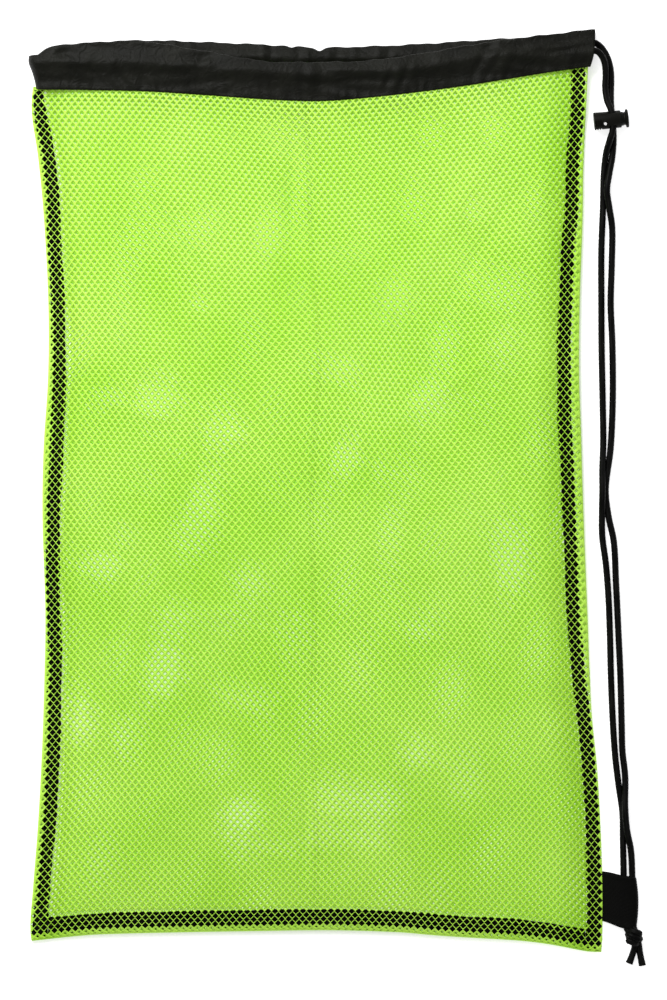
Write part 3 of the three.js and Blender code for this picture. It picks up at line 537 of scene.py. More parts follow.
def ramp(tree, value, stops):
    """A colour ramp: stops pairs a position with a linear colour."""
    made = node(tree, "ValToRGB", {"Fac": value})
    elements = made.color_ramp.elements
    while len(elements) < len(stops):
        elements.new(1)
    for element, (position, colour) in zip(elements, stops):
        element.position = position
        element.color = (*colour, 1)
    return made.outputs["Color"]


def bumped(tree, shader, height, strength, distance):
    """Tilts the surface by a height, which stands for this distance."""
    bump = node(tree, "Bump", {"Height": height, "Strength": strength, "Distance": distance})
    tree.links.new(bump.outputs["Normal"], shader.inputs["Normal"])


DEEP_LIME = (0.42, 0.76, 0.064)
BRIGHT_LIME = (0.50, 0.81, 0.11)
NET_PAINTED_GLOW = 0.24                                # painted glow in the net's own colour, which lifts its shaded back layer
# Painted shade: the net's colour is darkened along the inner edges of the side tapes
LEFT_TAPE_PAINTED_SHADE = (0.87, 0.90, 0.68)
RIGHT_TAPE_PAINTED_SHADE = (0.76, 0.83, 0.50)
PLAIN = (1, 1, 1)
TAPE_EDGE_PAINTED_SHADES = [                                 # share of the way across a panel, and painted shade, darker along the side tapes' inner edges
    (0, PLAIN), (0.036, LEFT_TAPE_PAINTED_SHADE), (0.062, PLAIN), (0.915, PLAIN), (0.963, RIGHT_TAPE_PAINTED_SHADE), (1, PLAIN),
]
LENGTH_PAINTED_SHADES = [                               # share of the way up it, and painted shade, darker towards the bottom where the light falls off
    (0, (0.87, 0.89, 0.76)), (0.45, (0.94, 0.95, 0.92)), (0.75, PLAIN),
]


def net_finish():
    """Lime knitted yarn: soft changes of colour over the cloth, painted shade that darkens it towards the
    bottom and along the inner edges of the side tapes, and loops along the strands as bump. A painted glow of
    its own colour lifts the shade of the back net seen through the front one."""
    material, tree, shader = finish("lime_net", BRIGHT_LIME, roughness=0.6, Specular_IOR_Level=0.2,
                                    Emission_Strength=NET_PAINTED_GLOW)
    noise = node(tree, "TexNoise", {"Vector": object_place(tree), "Scale": 14, "Detail": 3})
    lime = ramp(tree, noise.outputs["Fac"], [(0.3, DEEP_LIME), (0.7, BRIGHT_LIME)])
    mesh_place = node(tree, "SeparateXYZ", {"Vector": weave_place(tree)})
    for way, count, shades in (("X", NET_COLUMNS, TAPE_EDGE_PAINTED_SHADES), ("Y", NET_ROWS, LENGTH_PAINTED_SHADES)):
        share = node(tree, "Math", {0: mesh_place.outputs[way], 1: count}, operation="DIVIDE")
        shade = ramp(tree, share.outputs["Value"], shades)
        lime = node(tree, "MixRGB", {"Fac": 1, "Color1": lime, "Color2": shade}, blend_type="MULTIPLY")
        lime = lime.outputs["Color"]
    tree.links.new(lime, shader.inputs["Base Color"])
    # painted glow: the net's colour, with its painted shade, is also its emission
    tree.links.new(lime, shader.inputs["Emission Color"])
    loops = node(tree, "TexWave", {"Vector": weave_place(tree), "Scale": 1.6, "Distortion": 1.5},
                 bands_direction="DIAGONAL")
    bumped(tree, shader, loops.outputs["Fac"], strength=0.35, distance=0.0002)
    return material


WAVE_RATE = 20                                  # radians of a wave texture in a unit of its scale


def woven_finish(name, dark, light, roughness, pitch, depth, crumple, **sockets):
    """Plain black weave: two sets of threads a pitch apart as bump, small crumples and a little fading."""
    material, tree, shader = finish(name, dark, roughness, **sockets)
    place = weave_place(tree)
    turns = 2 * np.pi / (WAVE_RATE * pitch)
    threads = [
        node(tree, "TexWave", {"Vector": place, "Scale": turns, "Distortion": 0.4}, bands_direction=direction)
        for direction in ("X", "Y")
    ]
    both = node(tree, "Math", {0: threads[0].outputs["Fac"], 1: threads[1].outputs["Fac"]}, operation="ADD")
    crumples = node(tree, "TexNoise", {
        "Vector": object_place(tree), "Scale": 130, "Detail": 2, "Distortion": 1.5,
    })
    height = node(tree, "Math", {0: crumples.outputs["Fac"], 1: crumple / depth, 2: both.outputs["Value"]},
                  operation="MULTIPLY_ADD")
    bumped(tree, shader, height.outputs["Value"], strength=0.5, distance=depth)
    noise = node(tree, "TexNoise", {"Vector": object_place(tree), "Scale": 60, "Detail": 4})
    fade = ramp(tree, noise.outputs["Fac"], [(0.35, dark), (0.75, light)])
    tree.links.new(fade, shader.inputs["Base Color"])
    return material


def cord_finish():
    """Braided black cord: the plait is in the mesh, and lighter yarns run along it in streaks."""
    dark, light = (0.0008, 0.0008, 0.0007), (0.009, 0.009, 0.008)
    material, tree, shader = finish("braided_cord", dark, roughness=0.5, Specular_IOR_Level=0.07)
    streak = scaled(tree, weave_place(tree), (60, 900, 1))
    noise = node(tree, "TexNoise", {"Vector": streak, "Scale": 1, "Detail": 2})
    streaks = ramp(tree, noise.outputs["Fac"], [(0.45, dark), (0.75, light)])
    tree.links.new(streaks, shader.inputs["Base Color"])
    yarn = node(tree, "TexNoise", {"Vector": scaled(tree, weave_place(tree), (800, 3000, 1)), "Scale": 1})
    bumped(tree, shader, yarn.outputs["Fac"], strength=0.4, distance=0.00015)
    return material


def plastic_finish():
    """Moulded black plastic: satin, with a fine grain and slightly rubbed patches."""
    black = (0.0042, 0.0043, 0.0030)
    material, tree, shader = finish("moulded_plastic", black, roughness=0.5, Specular_IOR_Level=0.10)
    place = object_place(tree)
    patches = node(tree, "TexNoise", {"Vector": place, "Scale": 160, "Detail": 3})
    rubbed = ramp(tree, patches.outputs["Fac"], [(0.4, (0.44, 0.44, 0.44)), (0.7, (0.58, 0.58, 0.58))])
    tree.links.new(rubbed, shader.inputs["Roughness"])
    grain = node(tree, "TexNoise", {"Vector": place, "Scale": 2200, "Detail": 2})
    bumped(tree, shader, grain.outputs["Fac"], strength=0.12, distance=0.0001)
    return material


LIME_NET = net_finish()
BLACK_TAPE = woven_finish(
    "woven_tape", dark=(0.002, 0.002, 0.0017), light=(0.004, 0.004, 0.0037),
    roughness=0.8, pitch=0.0008, depth=0.00015, crumple=0.0001, Specular_IOR_Level=0.05,
)
NYLON = woven_finish(
    "casing_nylon", dark=(0.0052, 0.0054, 0.0038), light=(0.0098, 0.0101, 0.0074),
    roughness=0.48, pitch=0.0004, depth=0.00005, crumple=0.0018, Specular_IOR_Level=0.09,
)
RIBBON = woven_finish(
    "ribbon", dark=(0.0012, 0.0012, 0.0009), light=(0.0026, 0.0026, 0.0022),
    roughness=0.6, pitch=0.0009, depth=0.0002, crumple=0.0001, Specular_IOR_Level=0.06,
)
CORD = cord_finish()
PLASTIC = plastic_finish()
THREAD, _, _ = finish("sewing_thread", (0.008, 0.008, 0.007), roughness=0.6, Specular_IOR_Level=0.2)


def dress(piece, material, slot, body, *replaced):
    """Gives a piece its material and the body that carries it, and hides the imported nodes it stands for;
    slot is not used.
    """
    piece.data.materials.append(material)
    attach(piece, body)
    if replaced:
        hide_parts(*replaced)


# Cords

BRAID_YARNS = 6
BRAID_PITCH = 0.0032
BRAID_RELIEF = 0.07
PLAIT_LEVEL = 0.7                               # the plait's wave where the cord has its own radius
LAID_FLAT = 0.00005                             # what lies on the surface is this far above it


def tube(name, path, radius, sides, up, relief=0.0, flare=0.0):
    """A cord's skin: circles across a path, with the plait as relief.

    The radius is its own times 1 plus relief times a wave less its level: the higher of two cosines, which
    wind round the cord in opposite ways. flare widens the last two radii. Where the cord lies on the surface,
    it is flat underneath.
    """
    along = lengths(path)
    forward = unit(np.gradient(path, axis=0))
    across = unit(np.cross(forward, np.array(up)))
    over = np.cross(across, forward)
    angle = circle(sides)
    twist = 2 * np.pi * along[:, None] / BRAID_PITCH
    plait = np.maximum(np.cos(BRAID_YARNS * angle + twist), np.cos(BRAID_YARNS * angle - twist))
    to_end = np.clip(1 - (along[-1] - along[:, None]) / (2 * radius), 0, 1)
    size = radius * (1 + relief * (plait - PLAIT_LEVEL) + flare * to_end)
    rings = path[:, None] + size[..., None] * (
        np.cos(angle)[None, :, None] * across[:, None] + np.sin(angle)[None, :, None] * over[:, None]
    )
    rings[..., 2] = np.maximum(rings[..., 2], LAID_FLAT)
    return swept(name, rings, along, 2 * np.pi * radius)


UP = (0, 0, 1)
STRAND_STEP = 0.0009
STRAND_SIDES = 20
strands = {}
for name, route in (("front_strand", FRONT_START + FRONT_STRAND), ("back_strand", BACK_START + BACK_STRAND)):
    path = smooth_path(route, STRAND_STEP)
    strands[name] = tube(name, path, CORD_DIAMETER / 2, STRAND_SIDES, UP, BRAID_RELIEF), path
    dress(strands[name][0], CORD, "cord", "bag", "drawcord_" + name)

KNOT_MIDDLE = np.array((0.2259, -0.3354, 0.0055))
KNOT_AXIS = np.array((0.55, 0.84, 0))           # the turns follow each other along this
KNOT_BAND = np.array((0.84, -0.55, 0))          # and run this way over the top
KNOT_TURNS = 2.3
KNOT_STATIONS = 200
KNOT_REACH = 0.0045
KNOT_RISE = 0.0033
KNOT_LENGTH = 0.0093
KNOT_TAPER = 0.45
KNOT_CORD = 0.0025
KNOT_CORE = (0.0060, 0.0063, 0.0047)            # along the band, along the axis, and up
CORE_RINGS = 28
CORE_SIDES = 32
CORE_POLE = 0.06                                # the angle from its poles to its first and last rings
CORE_SWELL = 0.03
TAIL_STEP = 0.0005
TAIL_FLARE = 0.14                               # the cut ends spread by this share

# Each strand runs on through the knot's core to its cut end
TAILS = [
    [(0.2206, -0.3290, 0.0040), (0.2225, -0.3330, 0.0052), (0.2254, -0.3375, 0.0054),
     (0.2266, -0.3425, 0.0040), (0.2254, -0.3475, 0.0026), (0.2240, -0.3515, 0.0023),
     (0.2224, -0.3556, 0.0023)],
    [(0.2255, -0.3270, 0.0038), (0.2268, -0.3320, 0.0056), (0.2286, -0.3370, 0.0054),
     (0.2297, -0.3420, 0.0040), (0.2304, -0.3470, 0.0026), (0.2314, -0.3520, 0.0023),
     (0.2324, -0.3572, 0.0023)],
]


def knot_turns():
    """The turns round the core: an ellipse that moves along the knot's axis as it goes round.

    Its reach along the band follows the cosine of the angle and its height the sine; both shrink by the
    fourth power of the distance from the middle turn, which rounds the lump.
    """
    turn = np.linspace(-1, 1, KNOT_STATIONS)[:, None]
    angle = np.pi * (KNOT_TURNS * turn + 0.5)
    shrink = 1 - KNOT_TAPER * turn ** 4
    band = KNOT_REACH * shrink * np.cos(angle) * KNOT_BAND
    rise = KNOT_RISE * shrink * np.sin(angle) * np.array(UP)
    return KNOT_MIDDLE + band + rise - KNOT_LENGTH / 2 * turn * KNOT_AXIS


def knot_core():
    """The cords packed inside the lump, as an ellipsoid with a slight swell where each turn presses out."""
    down = np.linspace(CORE_POLE, np.pi - CORE_POLE, CORE_RINGS)[:, None]
    round_it = circle(CORE_SIDES)[None]
    swell = 1 + CORE_SWELL * np.cos(3 * round_it + 2 * down)
    band, axis, up = KNOT_CORE
    along = -axis * np.cos(down) * swell
    across = band * np.sin(down) * np.cos(round_it) * swell
    high = up * np.sin(down) * np.sin(round_it) * swell
    points = KNOT_MIDDLE + across[..., None] * KNOT_BAND + along[..., None] * KNOT_AXIS
    points = points + high[..., None] * np.array(UP)
    return swept("knot", points, down[:, 0] * axis, 2 * np.pi * band)


def joined(name, parts):
    """Several meshes as one piece."""
    with bpy.context.temp_override(active_object=parts[0], selected_editable_objects=parts):
        bpy.ops.object.join()
    parts[0].name = name
    return parts[0]


def knot():
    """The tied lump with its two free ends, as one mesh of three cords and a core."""
    parts = [
        tube("knot", smooth_path(route, TAIL_STEP), KNOT_CORD, STRAND_SIDES, UP, BRAID_RELIEF, TAIL_FLARE)
        for route in TAILS
    ]
    parts.append(tube("knot", knot_turns(), KNOT_CORD, STRAND_SIDES, KNOT_AXIS, BRAID_RELIEF))
    parts.append(knot_core())
    return joined("knot", parts)


knot_piece = knot()
dress(knot_piece, CORD, "cord", "bag", "drawcord_knot")


# Edges and folds

left_edge = curve(OUTLINE["y"], OUTLINE["left"])
right_edge = curve(OUTLINE["y"], OUTLINE["right"])
bottom_edge = curve(BOTTOM_EDGE["x"], BOTTOM_EDGE["y"])
left_inset = curve(LEFT_INSET["y"], LEFT_INSET["inset"])
right_inset = curve(RIGHT_INSET["y"], RIGHT_INSET["inset"])
hem, front_rim, back_rim, lift, front_cord, back_cord = (
    curve(CASING["x"], CASING[name])
    for name in ("hem", "front_rim", "back_rim", "lift", "front_cord", "back_cord")
)

DEEPEST_GATHER = min(row[3] for row in GATHERS)
FINE_GATHER = 0.00045                           # fine gathers along the hem, and how far up they reach
FINE_REACH = 0.008
LONG_GATHER = 0.00035                           # ripples that run along the band
# Uneven waves: their turn in a metre, their drift and its turn, and their swell's turn and phase
FINE_WAVE = (720, 2.1, 95, 61, 0.7)
LONG_WAVE = (640, 3, 38, 27, 1)
BACK_FINE = 0.7                                 # the back half's fine gathers, of the front half's


def uneven_wave(at, x, turn, drift, drift_turn, swell_turn, phase):
    """A sine wave whose phase drifts along x by a sine and whose height swells along x by another."""
    return np.sin(at * turn + drift * np.sin(x * drift_turn)) * np.sin(x * swell_turn + phase)


def puckers(x, y):
    """Small gathers of the cloth: broad folds that lean towards the rim, each a bell curve, and uneven waves,
    fine ones at the hem and ripples that run along the band."""
    above_hem = y - hem(x)
    broad = sum(
        rise * bell((x - at - lean * above_hem) / width) for at, width, lean, rise in GATHERS
    )
    fine = FINE_GATHER * uneven_wave(x, x, *FINE_WAVE) * bell(above_hem / FINE_REACH)
    return broad, fine + LONG_GATHER * uneven_wave(y, x, *LONG_WAVE)


def moved_out(x, y, turn):
    """How far the cloth stands out of its smooth shape: on the front half by its gathers and creases. The
    back half is turned over: its fine gathers and creases count the other way, and its broad ones by half,
    from the deepest of them. Round the fold one half goes over evenly into the other."""
    broad, fine = puckers(x, y)
    front = broad + fine + folds(x, y, FRONT_CREASES)
    rear = (DEEPEST_GATHER - broad) / 2 - BACK_FINE * fine - folds(x, y, BACK_CREASES)
    return mix(front, rear, turn / np.pi)


# Net panels

NET_SPLIT = 81                                  # a panel is made in two pieces that meet along a strand here
PANEL_WIDTH = 0.415                             # a panel as cut
PANEL_LENGTH = 0.650
YARN_THICK = 0.0010
TAUT_HOLE = (0.96, 0.80)                        # a hole's half width and height, of the way to the crossings,
SLACK_HOLE = (0.66, 0.48)                       # where the seams hold the net taut, and away from them
TAUT_EDGE = 0.0008                              # the change between them, each way from the tape's edges
SEAM_HOLE = (0.40, 0.28)                        # beyond the tapes, where the net is turned in at the seam
EDGE_YARN = (0.64, 0.42)                        # the panel's edge yarn, in half meshes and rows
HEM_PULL = 0.006                                # how far the hem's puckers reach into the net
AROUND = np.array([(1, 0), (0, 1), (-1, 0), (0, -1)])   # right, up, left, down
SETTLING_ROUNDS = 6
SEWN_SHARE = 0.008                              # of a panel, from its edges, where both nets lie in line
# Slow waves of the meshes: counts across and up, phase, and reach across and up in half meshes
SWAYS = [(1.3, 0.8, 0.4, 1.2, 0.9), (2.1, -1.7, 1.9, 0.8, 0.7), (-0.6, 3.1, 2.6, 0.7, 0.8)]
# Pairs of waves that are multiplied: their reach, then each one's turn across, turn up and phase
WANDERS = [(0.28, (37, 9, 0), (-14, 31, 0)), (0.22, (19, -23, 1), (13, 11, 2))]
RAGGED = (0.6, (330, 150, 0), (-190, 270, 0))


def on_panel(across, up, tuck):
    """Where a share across and a share up a panel lie: each depends on the other, and a few rounds settle it.
    tuck is how far the panel's upper edge lies above the front hem."""
    x = mix(left_edge(0.0), right_edge(0.0), across)
    y = np.zeros_like(x)
    for _ in range(SETTLING_ROUNDS):
        y = mix(bottom_edge(x), hem(x) + tuck, up)
        x = mix(left_edge(y), right_edge(y), across)
    return x, y


def risen(x, y):
    """How far up their rise the side seams are: evenly from 0, a rise's length below the hem, to 1 at it."""
    return np.clip(1 - (hem(x) - y) / SEAM_RISE_LENGTH, 0, 1)


def seam_rise(x, y):
    """The side seams rise evenly to the casing's folded end, less and less away from the seam."""
    near = np.clip(1 - np.minimum(x - left_edge(y), right_edge(y) - x) / SEAM_CURL, 0, 1)
    return SEAM_TOP_RISE * risen(x, y) * near


def front_height(x, y):
    """The front net's middle: over the tape at the seams, standing off by PUFF and its folds inside them,
    and at the casing's height at the mouth, where it follows the hem's puckers."""
    distances = [x - left_edge(y), right_edge(y) - x, y - bottom_edge(x)]
    over_tape = np.clip(np.minimum.reduce(distances) / SEAM_ROLL, 0, 1)
    open_share = np.prod([1 - np.exp(-np.maximum(d, 0) / PUFF_REACH) for d in distances], axis=0)
    near_mouth = ease(y, hem(x) - MOUTH_REACH, hem(x))
    full = mix(PUFF + folds(x, y, NET_FOLDS + NET_CREASES), lift(x) - NET_WALL / 2 - TAPE_STEP, near_mouth)
    sewn = moved_out(x, hem(x), 0 * x) * bell((hem(x) - y) / HEM_PULL)
    return mix(SEAM_LIFT, TAPE_STEP, over_tape) + seam_rise(x, y) + full * open_share + sewn + NET_WALL / 2


def back_height(x, y):
    """The back net's middle: half its wall above the surface, and the seams' rise."""
    return seam_rise(x, y) + NET_WALL / 2


LEFT_NARROWING = 0.28                           # the left tape is drawn in at its top
NARROW_LENGTH = 0.032
CORNER_SPREAD = 0.14                            # the side tapes spread at the bottom corners,
LEFT_SPREAD = 0.032                             # each over its own length
RIGHT_SPREAD = 0.160
# Each side tape: its edge of the net, its inset, which way is inwards, its narrowing, and how long it spreads
SIDE_TAPES = [
    (left_edge, left_inset, 1, LEFT_NARROWING, LEFT_SPREAD),
    (right_edge, right_inset, -1, 0, RIGHT_SPREAD),
]


def tape_ends(edge):
    """The lower and the upper end of the tape along a side edge."""
    return bottom_edge(edge(0.0)) + TAPE_END_INSET, hem(edge(hem(edge(0.0)))) + NET_TUCK


def side_width(y, edge, narrowing, spread_length):
    """A side tape's width up the bag: drawn in with ease towards its top, and spread towards its foot."""
    low, high = tape_ends(edge)
    drawn_in = 1 - narrowing * ease(y, high - NARROW_LENGTH, high)
    return TAPE_WIDTH * drawn_in * (1 + CORNER_SPREAD * (1 - ease(y, low, low + spread_length)))


def hole_size(hole):
    """Half width and height of the holes at these columns and rows: taut along the tapes, close at the seams
    outside them, and slack elsewhere."""
    x, y = on_panel(hole[:, 0] / NET_COLUMNS, hole[:, 1] / NET_ROWS, NET_TUCK)
    tapes = [(y - bottom_edge(x) - BOTTOM_TAPE_INSET, BOTTOM_TAPE_WIDTH)]
    for edge, inset, side, narrowing, spread_length in SIDE_TAPES:
        into = side * (x - edge(y)) - inset(y)
        tapes.append((into, side_width(y, edge, narrowing, spread_length)))
    taut = np.maximum.reduce([
        ease(into, 0, 2 * TAUT_EDGE) * ease(width - into, -TAUT_EDGE, TAUT_EDGE) for into, width in tapes
    ])
    beyond = np.maximum.reduce([1 - ease(into, 0, TAUT_EDGE) for into, _ in tapes])
    size = mix(np.array(SLACK_HOLE), np.array(TAUT_HOLE), taut[:, None])
    return mix(size, np.array(SEAM_HOLE), beyond[:, None])


def roofs(ridge, keel, corner):
    """Quads of the strands round each hole: from their ridges down to the hole's corners, and from those down
    to the strands' keels."""
    after = np.roll(np.arange(corner.shape[1]), -1)
    upper = (ridge, ridge[:, after], corner[:, after], corner)
    lower = (corner, corner[:, after], keel[:, after], keel)
    return [np.stack(slope, axis=-1).reshape(-1, 4) for slope in (upper, lower)]


def net_lattice(right_part):
    """Points and faces of one part of a panel, in counts of half meshes across and rows up.

    Holes and crossings take turns on a grid like the squares of a chessboard. A strand between two crossings
    is a roof above and below: from its ridge, which joins the crossings, down to the edges of the two holes
    beside it. Along the panel's border the half holes are closed by an edge yarn. The two parts meet in a
    wall along a zigzag of strands.
    """
    column, row = np.meshgrid(np.arange(NET_COLUMNS + 1), np.arange(NET_ROWS + 1))
    border = (column % NET_COLUMNS == 0) | (row % NET_ROWS == 0)
    crossing = (column + row) % 2 == 0
    mine = (column > NET_SPLIT) == right_part
    above = np.cumsum(crossing).reshape(crossing.shape) - 1
    count = crossing.sum()

    groups = [(~border, AROUND, 0, 0)]
    for side, at_side in enumerate((column == NET_COLUMNS, row == NET_ROWS, column == 0, row == 0)):
        three = AROUND[[(side + k) % 4 for k in (1, 2, 3)]]
        inwards = np.array([[1], [0], [1]]) * AROUND[side] * EDGE_YARN
        groups.append((at_side, three, SLACK_HOLE, inwards))

    quads = []
    edges = []
    first = 2 * count
    for where, around, smallest, inwards in groups:
        at = ~crossing & where & mine
        hole = np.stack([column[at], row[at]], axis=1)
        size = np.maximum(hole_size(hole), smallest)[:, None]
        hole = hole[:, None]
        sides = len(around)
        corner = first + sides * np.arange(len(hole))[:, None] + np.arange(sides)
        round_hole = hole + around
        top = above[round_hole[..., 1], round_hole[..., 0]]
        under = top + count
        quads += roofs(top, under, corner)
        if sides < len(AROUND):
            quads.append(np.stack([top[:, 0], top[:, 2], under[:, 2], under[:, 0]], axis=1))
        edges.append((hole + around * size - inwards).reshape(-1, 2))
        first += corner.size

    step = np.arange(NET_ROWS + 1)
    ridge = above[step, NET_SPLIT + (step + 1) % 2]
    keel = ridge + count
    wall = np.stack([keel[:-1], keel[1:], ridge[1:], ridge[:-1]], axis=1)
    quads.append(wall[:, ::-1] if right_part else wall)

    crossings = np.stack([column[crossing], row[crossing]], axis=1)
    edges = np.concatenate(edges)
    places = np.concatenate([crossings, crossings, edges]).astype(float)
    raised = np.concatenate([np.ones(count), np.full(count, -1), np.zeros(len(edges))])
    return places, raised, np.concatenate(quads)


def net_part(name, right_part, height, shift, tuck):
    """One part of a panel: the lattice laid over the panel, its yarn half a thickness above and below."""
    places, raised, quads = net_lattice(right_part)
    used, renumbered = np.unique(quads, return_inverse=True)
    places, raised = places[used], raised[used]
    quads = renumbered.reshape(-1, 4)
    share = places / (NET_COLUMNS, NET_ROWS)
    share = share + shift(share[:, 0], share[:, 1])
    x, y = on_panel(share[:, 0], share[:, 1], tuck)
    points = np.stack([x, y, height(x, y) + raised * YARN_THICK / 2], axis=1)
    return make_piece(name, points, [quads], [places[quads]])


def sway(across, up):
    """Slow waves of the meshes in the cloth, as shares of a panel: a sum of sines, which dies out at its
    edges by the sines of half a turn across and up it."""
    calm = np.sin(np.pi * np.clip(across, 0, 1)) * np.sin(np.pi * np.clip(up, 0, 1))
    moved = np.zeros((len(across), 2))
    for count_x, count_y, phase, reach_x, reach_y in SWAYS:
        wave = np.sin(2 * np.pi * (count_x * across + count_y * up) + phase)
        moved += np.stack([reach_x * wave / NET_COLUMNS, reach_y * wave / NET_ROWS], axis=1)
    return moved * calm[:, None]


def crossed_waves(across, up, reach, first, second):
    """Two sine waves multiplied, times their reach."""
    one, other = (np.sin(turn_x * across + turn_y * up + phase) for turn_x, turn_y, phase in (first, second))
    return reach * one * other


def sway_back(across, up):
    """The back net's meshes lie half a mesh beside the front net's, so that from above each fills the other's
    holes. They come into line in the clear patches, bell curves with ragged edges, and at the panel's edges,
    where both are sewn together.

    From the viewing height the front net is seen further out from the middle by the share that it stands
    higher, and the back net's meshes lie further out by as much.
    """
    x, y = on_panel(across, up, BACK_TUCK)
    clear = np.zeros_like(x)
    ragged = 1 + crossed_waves(x, y, *RAGGED)
    for middle_x, middle_y, width, height, clearness in CLEAR_PATCHES:
        away = ragged * (((x - middle_x) / width) ** 2 + ((y - middle_y) / height) ** 2)
        clear = np.maximum(clear, clearness * np.exp(-0.5 * away))
    inside = np.minimum(np.minimum(across, 1 - across), np.minimum(up, 1 - up))
    wander = sum(crossed_waves(across, up, *pair) for pair in WANDERS)
    free = ease(inside, 0, SEWN_SHARE)
    beside = free * (1 + wander - clear) / NET_COLUMNS
    higher = free * (front_height(x, y) - back_height(x, y)) / VIEW_HEIGHT
    out_x = higher * (x - PICTURE_MIDDLE[0]) / PANEL_WIDTH
    out_y = higher * (y - PICTURE_MIDDLE[1]) / PANEL_LENGTH
    return sway(across, up) + np.stack([beside + out_x, out_y], axis=1)


panels = (("front", front_height, sway, NET_TUCK), ("back", back_height, sway_back, BACK_TUCK))
for panel, height, shift, tuck in panels:
    for part in ("left", "right"):
        net = net_part(f"{panel}_net_{part}", part == "right", height, shift, tuck)
        dress(net, LIME_NET, "net", "bag", f"{panel}_panel")
        flat = (PANEL_WIDTH / 2, PANEL_LENGTH)


# Tape over the seam allowances

TAPE_SIDES = 20
TAPE_STEPS = 360
TAPE_POWERS = (0.45, 0.55)                      # of its section, across and up
TAPE_RIPPLE = (0.00012, 900, 700)               # its rise, and its turns in a metre along X and Y
SIDE_WAVES = [(0.00035, 95, 0), (0.0002, 310, 1)]
BOTTOM_WAVES = [(0.0003, 110, 0), (0.0002, 270, 2)]
LEFT_TAPE_LENGTH = 0.640                        # as cut
RIGHT_TAPE_LENGTH = 0.660
BOTTOM_TAPE_LENGTH = 0.405
STITCH_PITCH = 0.0040
STITCH_RADIUS = 0.00028
STITCH_STATIONS = 5
STITCH_SIDES = 5
STITCH_TIP = 0.02                               # the square of its tips' radius, of its own
STITCH_ARCH = 0.6                               # how far its middle stands out, in radii
STITCH_NEAR = 0.0003                            # its heading is read this far before and after it


def drawn_out(wave, power):
    """A wave with its sides drawn out: its size to a small power, with its own sign."""
    return np.sign(wave) * np.abs(wave) ** power


def tape_rings(middle, across, width):
    """A flat ribbon with rounded edges: its section is a circle with its sides drawn out, by small powers of
    the cosine across and the sine up, laid on the back net."""
    angle = circle(TAPE_SIDES)
    out = drawn_out(np.cos(angle), TAPE_POWERS[0])
    high = drawn_out(np.sin(angle), TAPE_POWERS[1])
    flat = middle[:, None] + (out * width[:, None] / 2)[..., None] * across[:, None]
    x, y = flat[..., 0], flat[..., 1]
    slack = TAPE_TOP_SLACK * np.clip(risen(x, y) / TAPE_SLACK_SHARE, 0, 1)
    low = NET_WALL + GAP + slack + seam_rise(x, y)
    rise, turn_x, turn_y = TAPE_RIPPLE
    ripple = rise * np.sin(x * turn_x + y * turn_y) * (high > 0)
    return np.stack([x, y, low + (1 + high) * TAPE_THICK / 2 + ripple], axis=-1)


def side_tape(name, edge, inset, side, narrowing, spread_length):
    """The tape along a side edge: its outer side lies an inset inside the edge, with a wander."""
    low, high = tape_ends(edge)
    y = np.linspace(low, high, TAPE_STEPS)
    width = side_width(y, edge, narrowing, spread_length)
    x = edge(y) + side * (inset(y) + width / 2) + waves(y, SIDE_WAVES)
    across = np.tile((1.0, 0.0), (TAPE_STEPS, 1))
    rings = tape_rings(np.stack([x, y], axis=1), across, width)
    return swept(name, rings, y - low, 2 * TAPE_WIDTH), rings


def bottom_tape(name):
    """The tape along the bottom edge, between the two side tapes: an inset inside the edge, with a wander."""
    from_edge = BOTTOM_TAPE_INSET + BOTTOM_TAPE_WIDTH / 2
    ends = []
    for edge, inset, side, narrowing, spread_length in SIDE_TAPES:
        y = bottom_edge(edge(0.0)) + from_edge
        ends.append(edge(y) + side * (inset(y) + side_width(y, edge, narrowing, spread_length) + GAP))
    x = np.linspace(*ends, TAPE_STEPS)
    middle = np.stack([x, bottom_edge(x) + from_edge + waves(x, BOTTOM_WAVES)], axis=1)
    across = np.tile((0.0, 1.0), (TAPE_STEPS, 1))
    rings = tape_rings(middle, across, np.full(TAPE_STEPS, BOTTOM_TAPE_WIDTH))
    return swept(name, rings, x - ends[0], 2 * BOTTOM_TAPE_WIDTH), rings


def stitch_row(name, line, pitch, radius, up):
    """A row of stitches along a line: each is a spindle, whose radius follows the root of a half circle and
    whose middle arches, two thirds of a pitch long."""
    far = lengths(line)
    at = np.arange(pitch, far[-1] - pitch / 2, pitch)
    before, middle, after = (
        np.stack([np.interp(at + near, far, line[:, k]) for k in range(3)], axis=1)
        for near in (-STITCH_NEAR, 0, STITCH_NEAR)
    )
    forward = unit(after - before)
    up = np.broadcast_to(np.array(up, float), forward.shape)
    side = unit(np.cross(forward, up))
    over = np.cross(side, forward)
    t = np.linspace(-1, 1, STITCH_STATIONS)
    angle = circle(STITCH_SIDES)
    size = radius * np.sqrt(np.maximum(1 - t ** 2, STITCH_TIP))
    centre = middle[:, None] + (t * pitch / 3)[None, :, None] * forward[:, None]
    centre = centre + (radius * (STITCH_ARCH - t ** 2))[None, :, None] * over[:, None]
    ring = np.cos(angle)[:, None] * side[:, None, None] + np.sin(angle)[:, None] * over[:, None, None]
    points = centre[:, :, None] + size[None, :, None, None] * ring
    count, stations, sides = points.shape[:3]
    first = np.arange(count) * stations * sides
    quads = (first[:, None, None] + skin(stations, sides)[0]).reshape(-1, 4)
    end = np.arange(sides)
    caps = np.stack([end, (stations - 1) * sides + end[::-1]])
    caps = (first[:, None, None] + caps).reshape(-1, sides)
    return make_piece(name, points.reshape(-1, 3), [quads, caps])


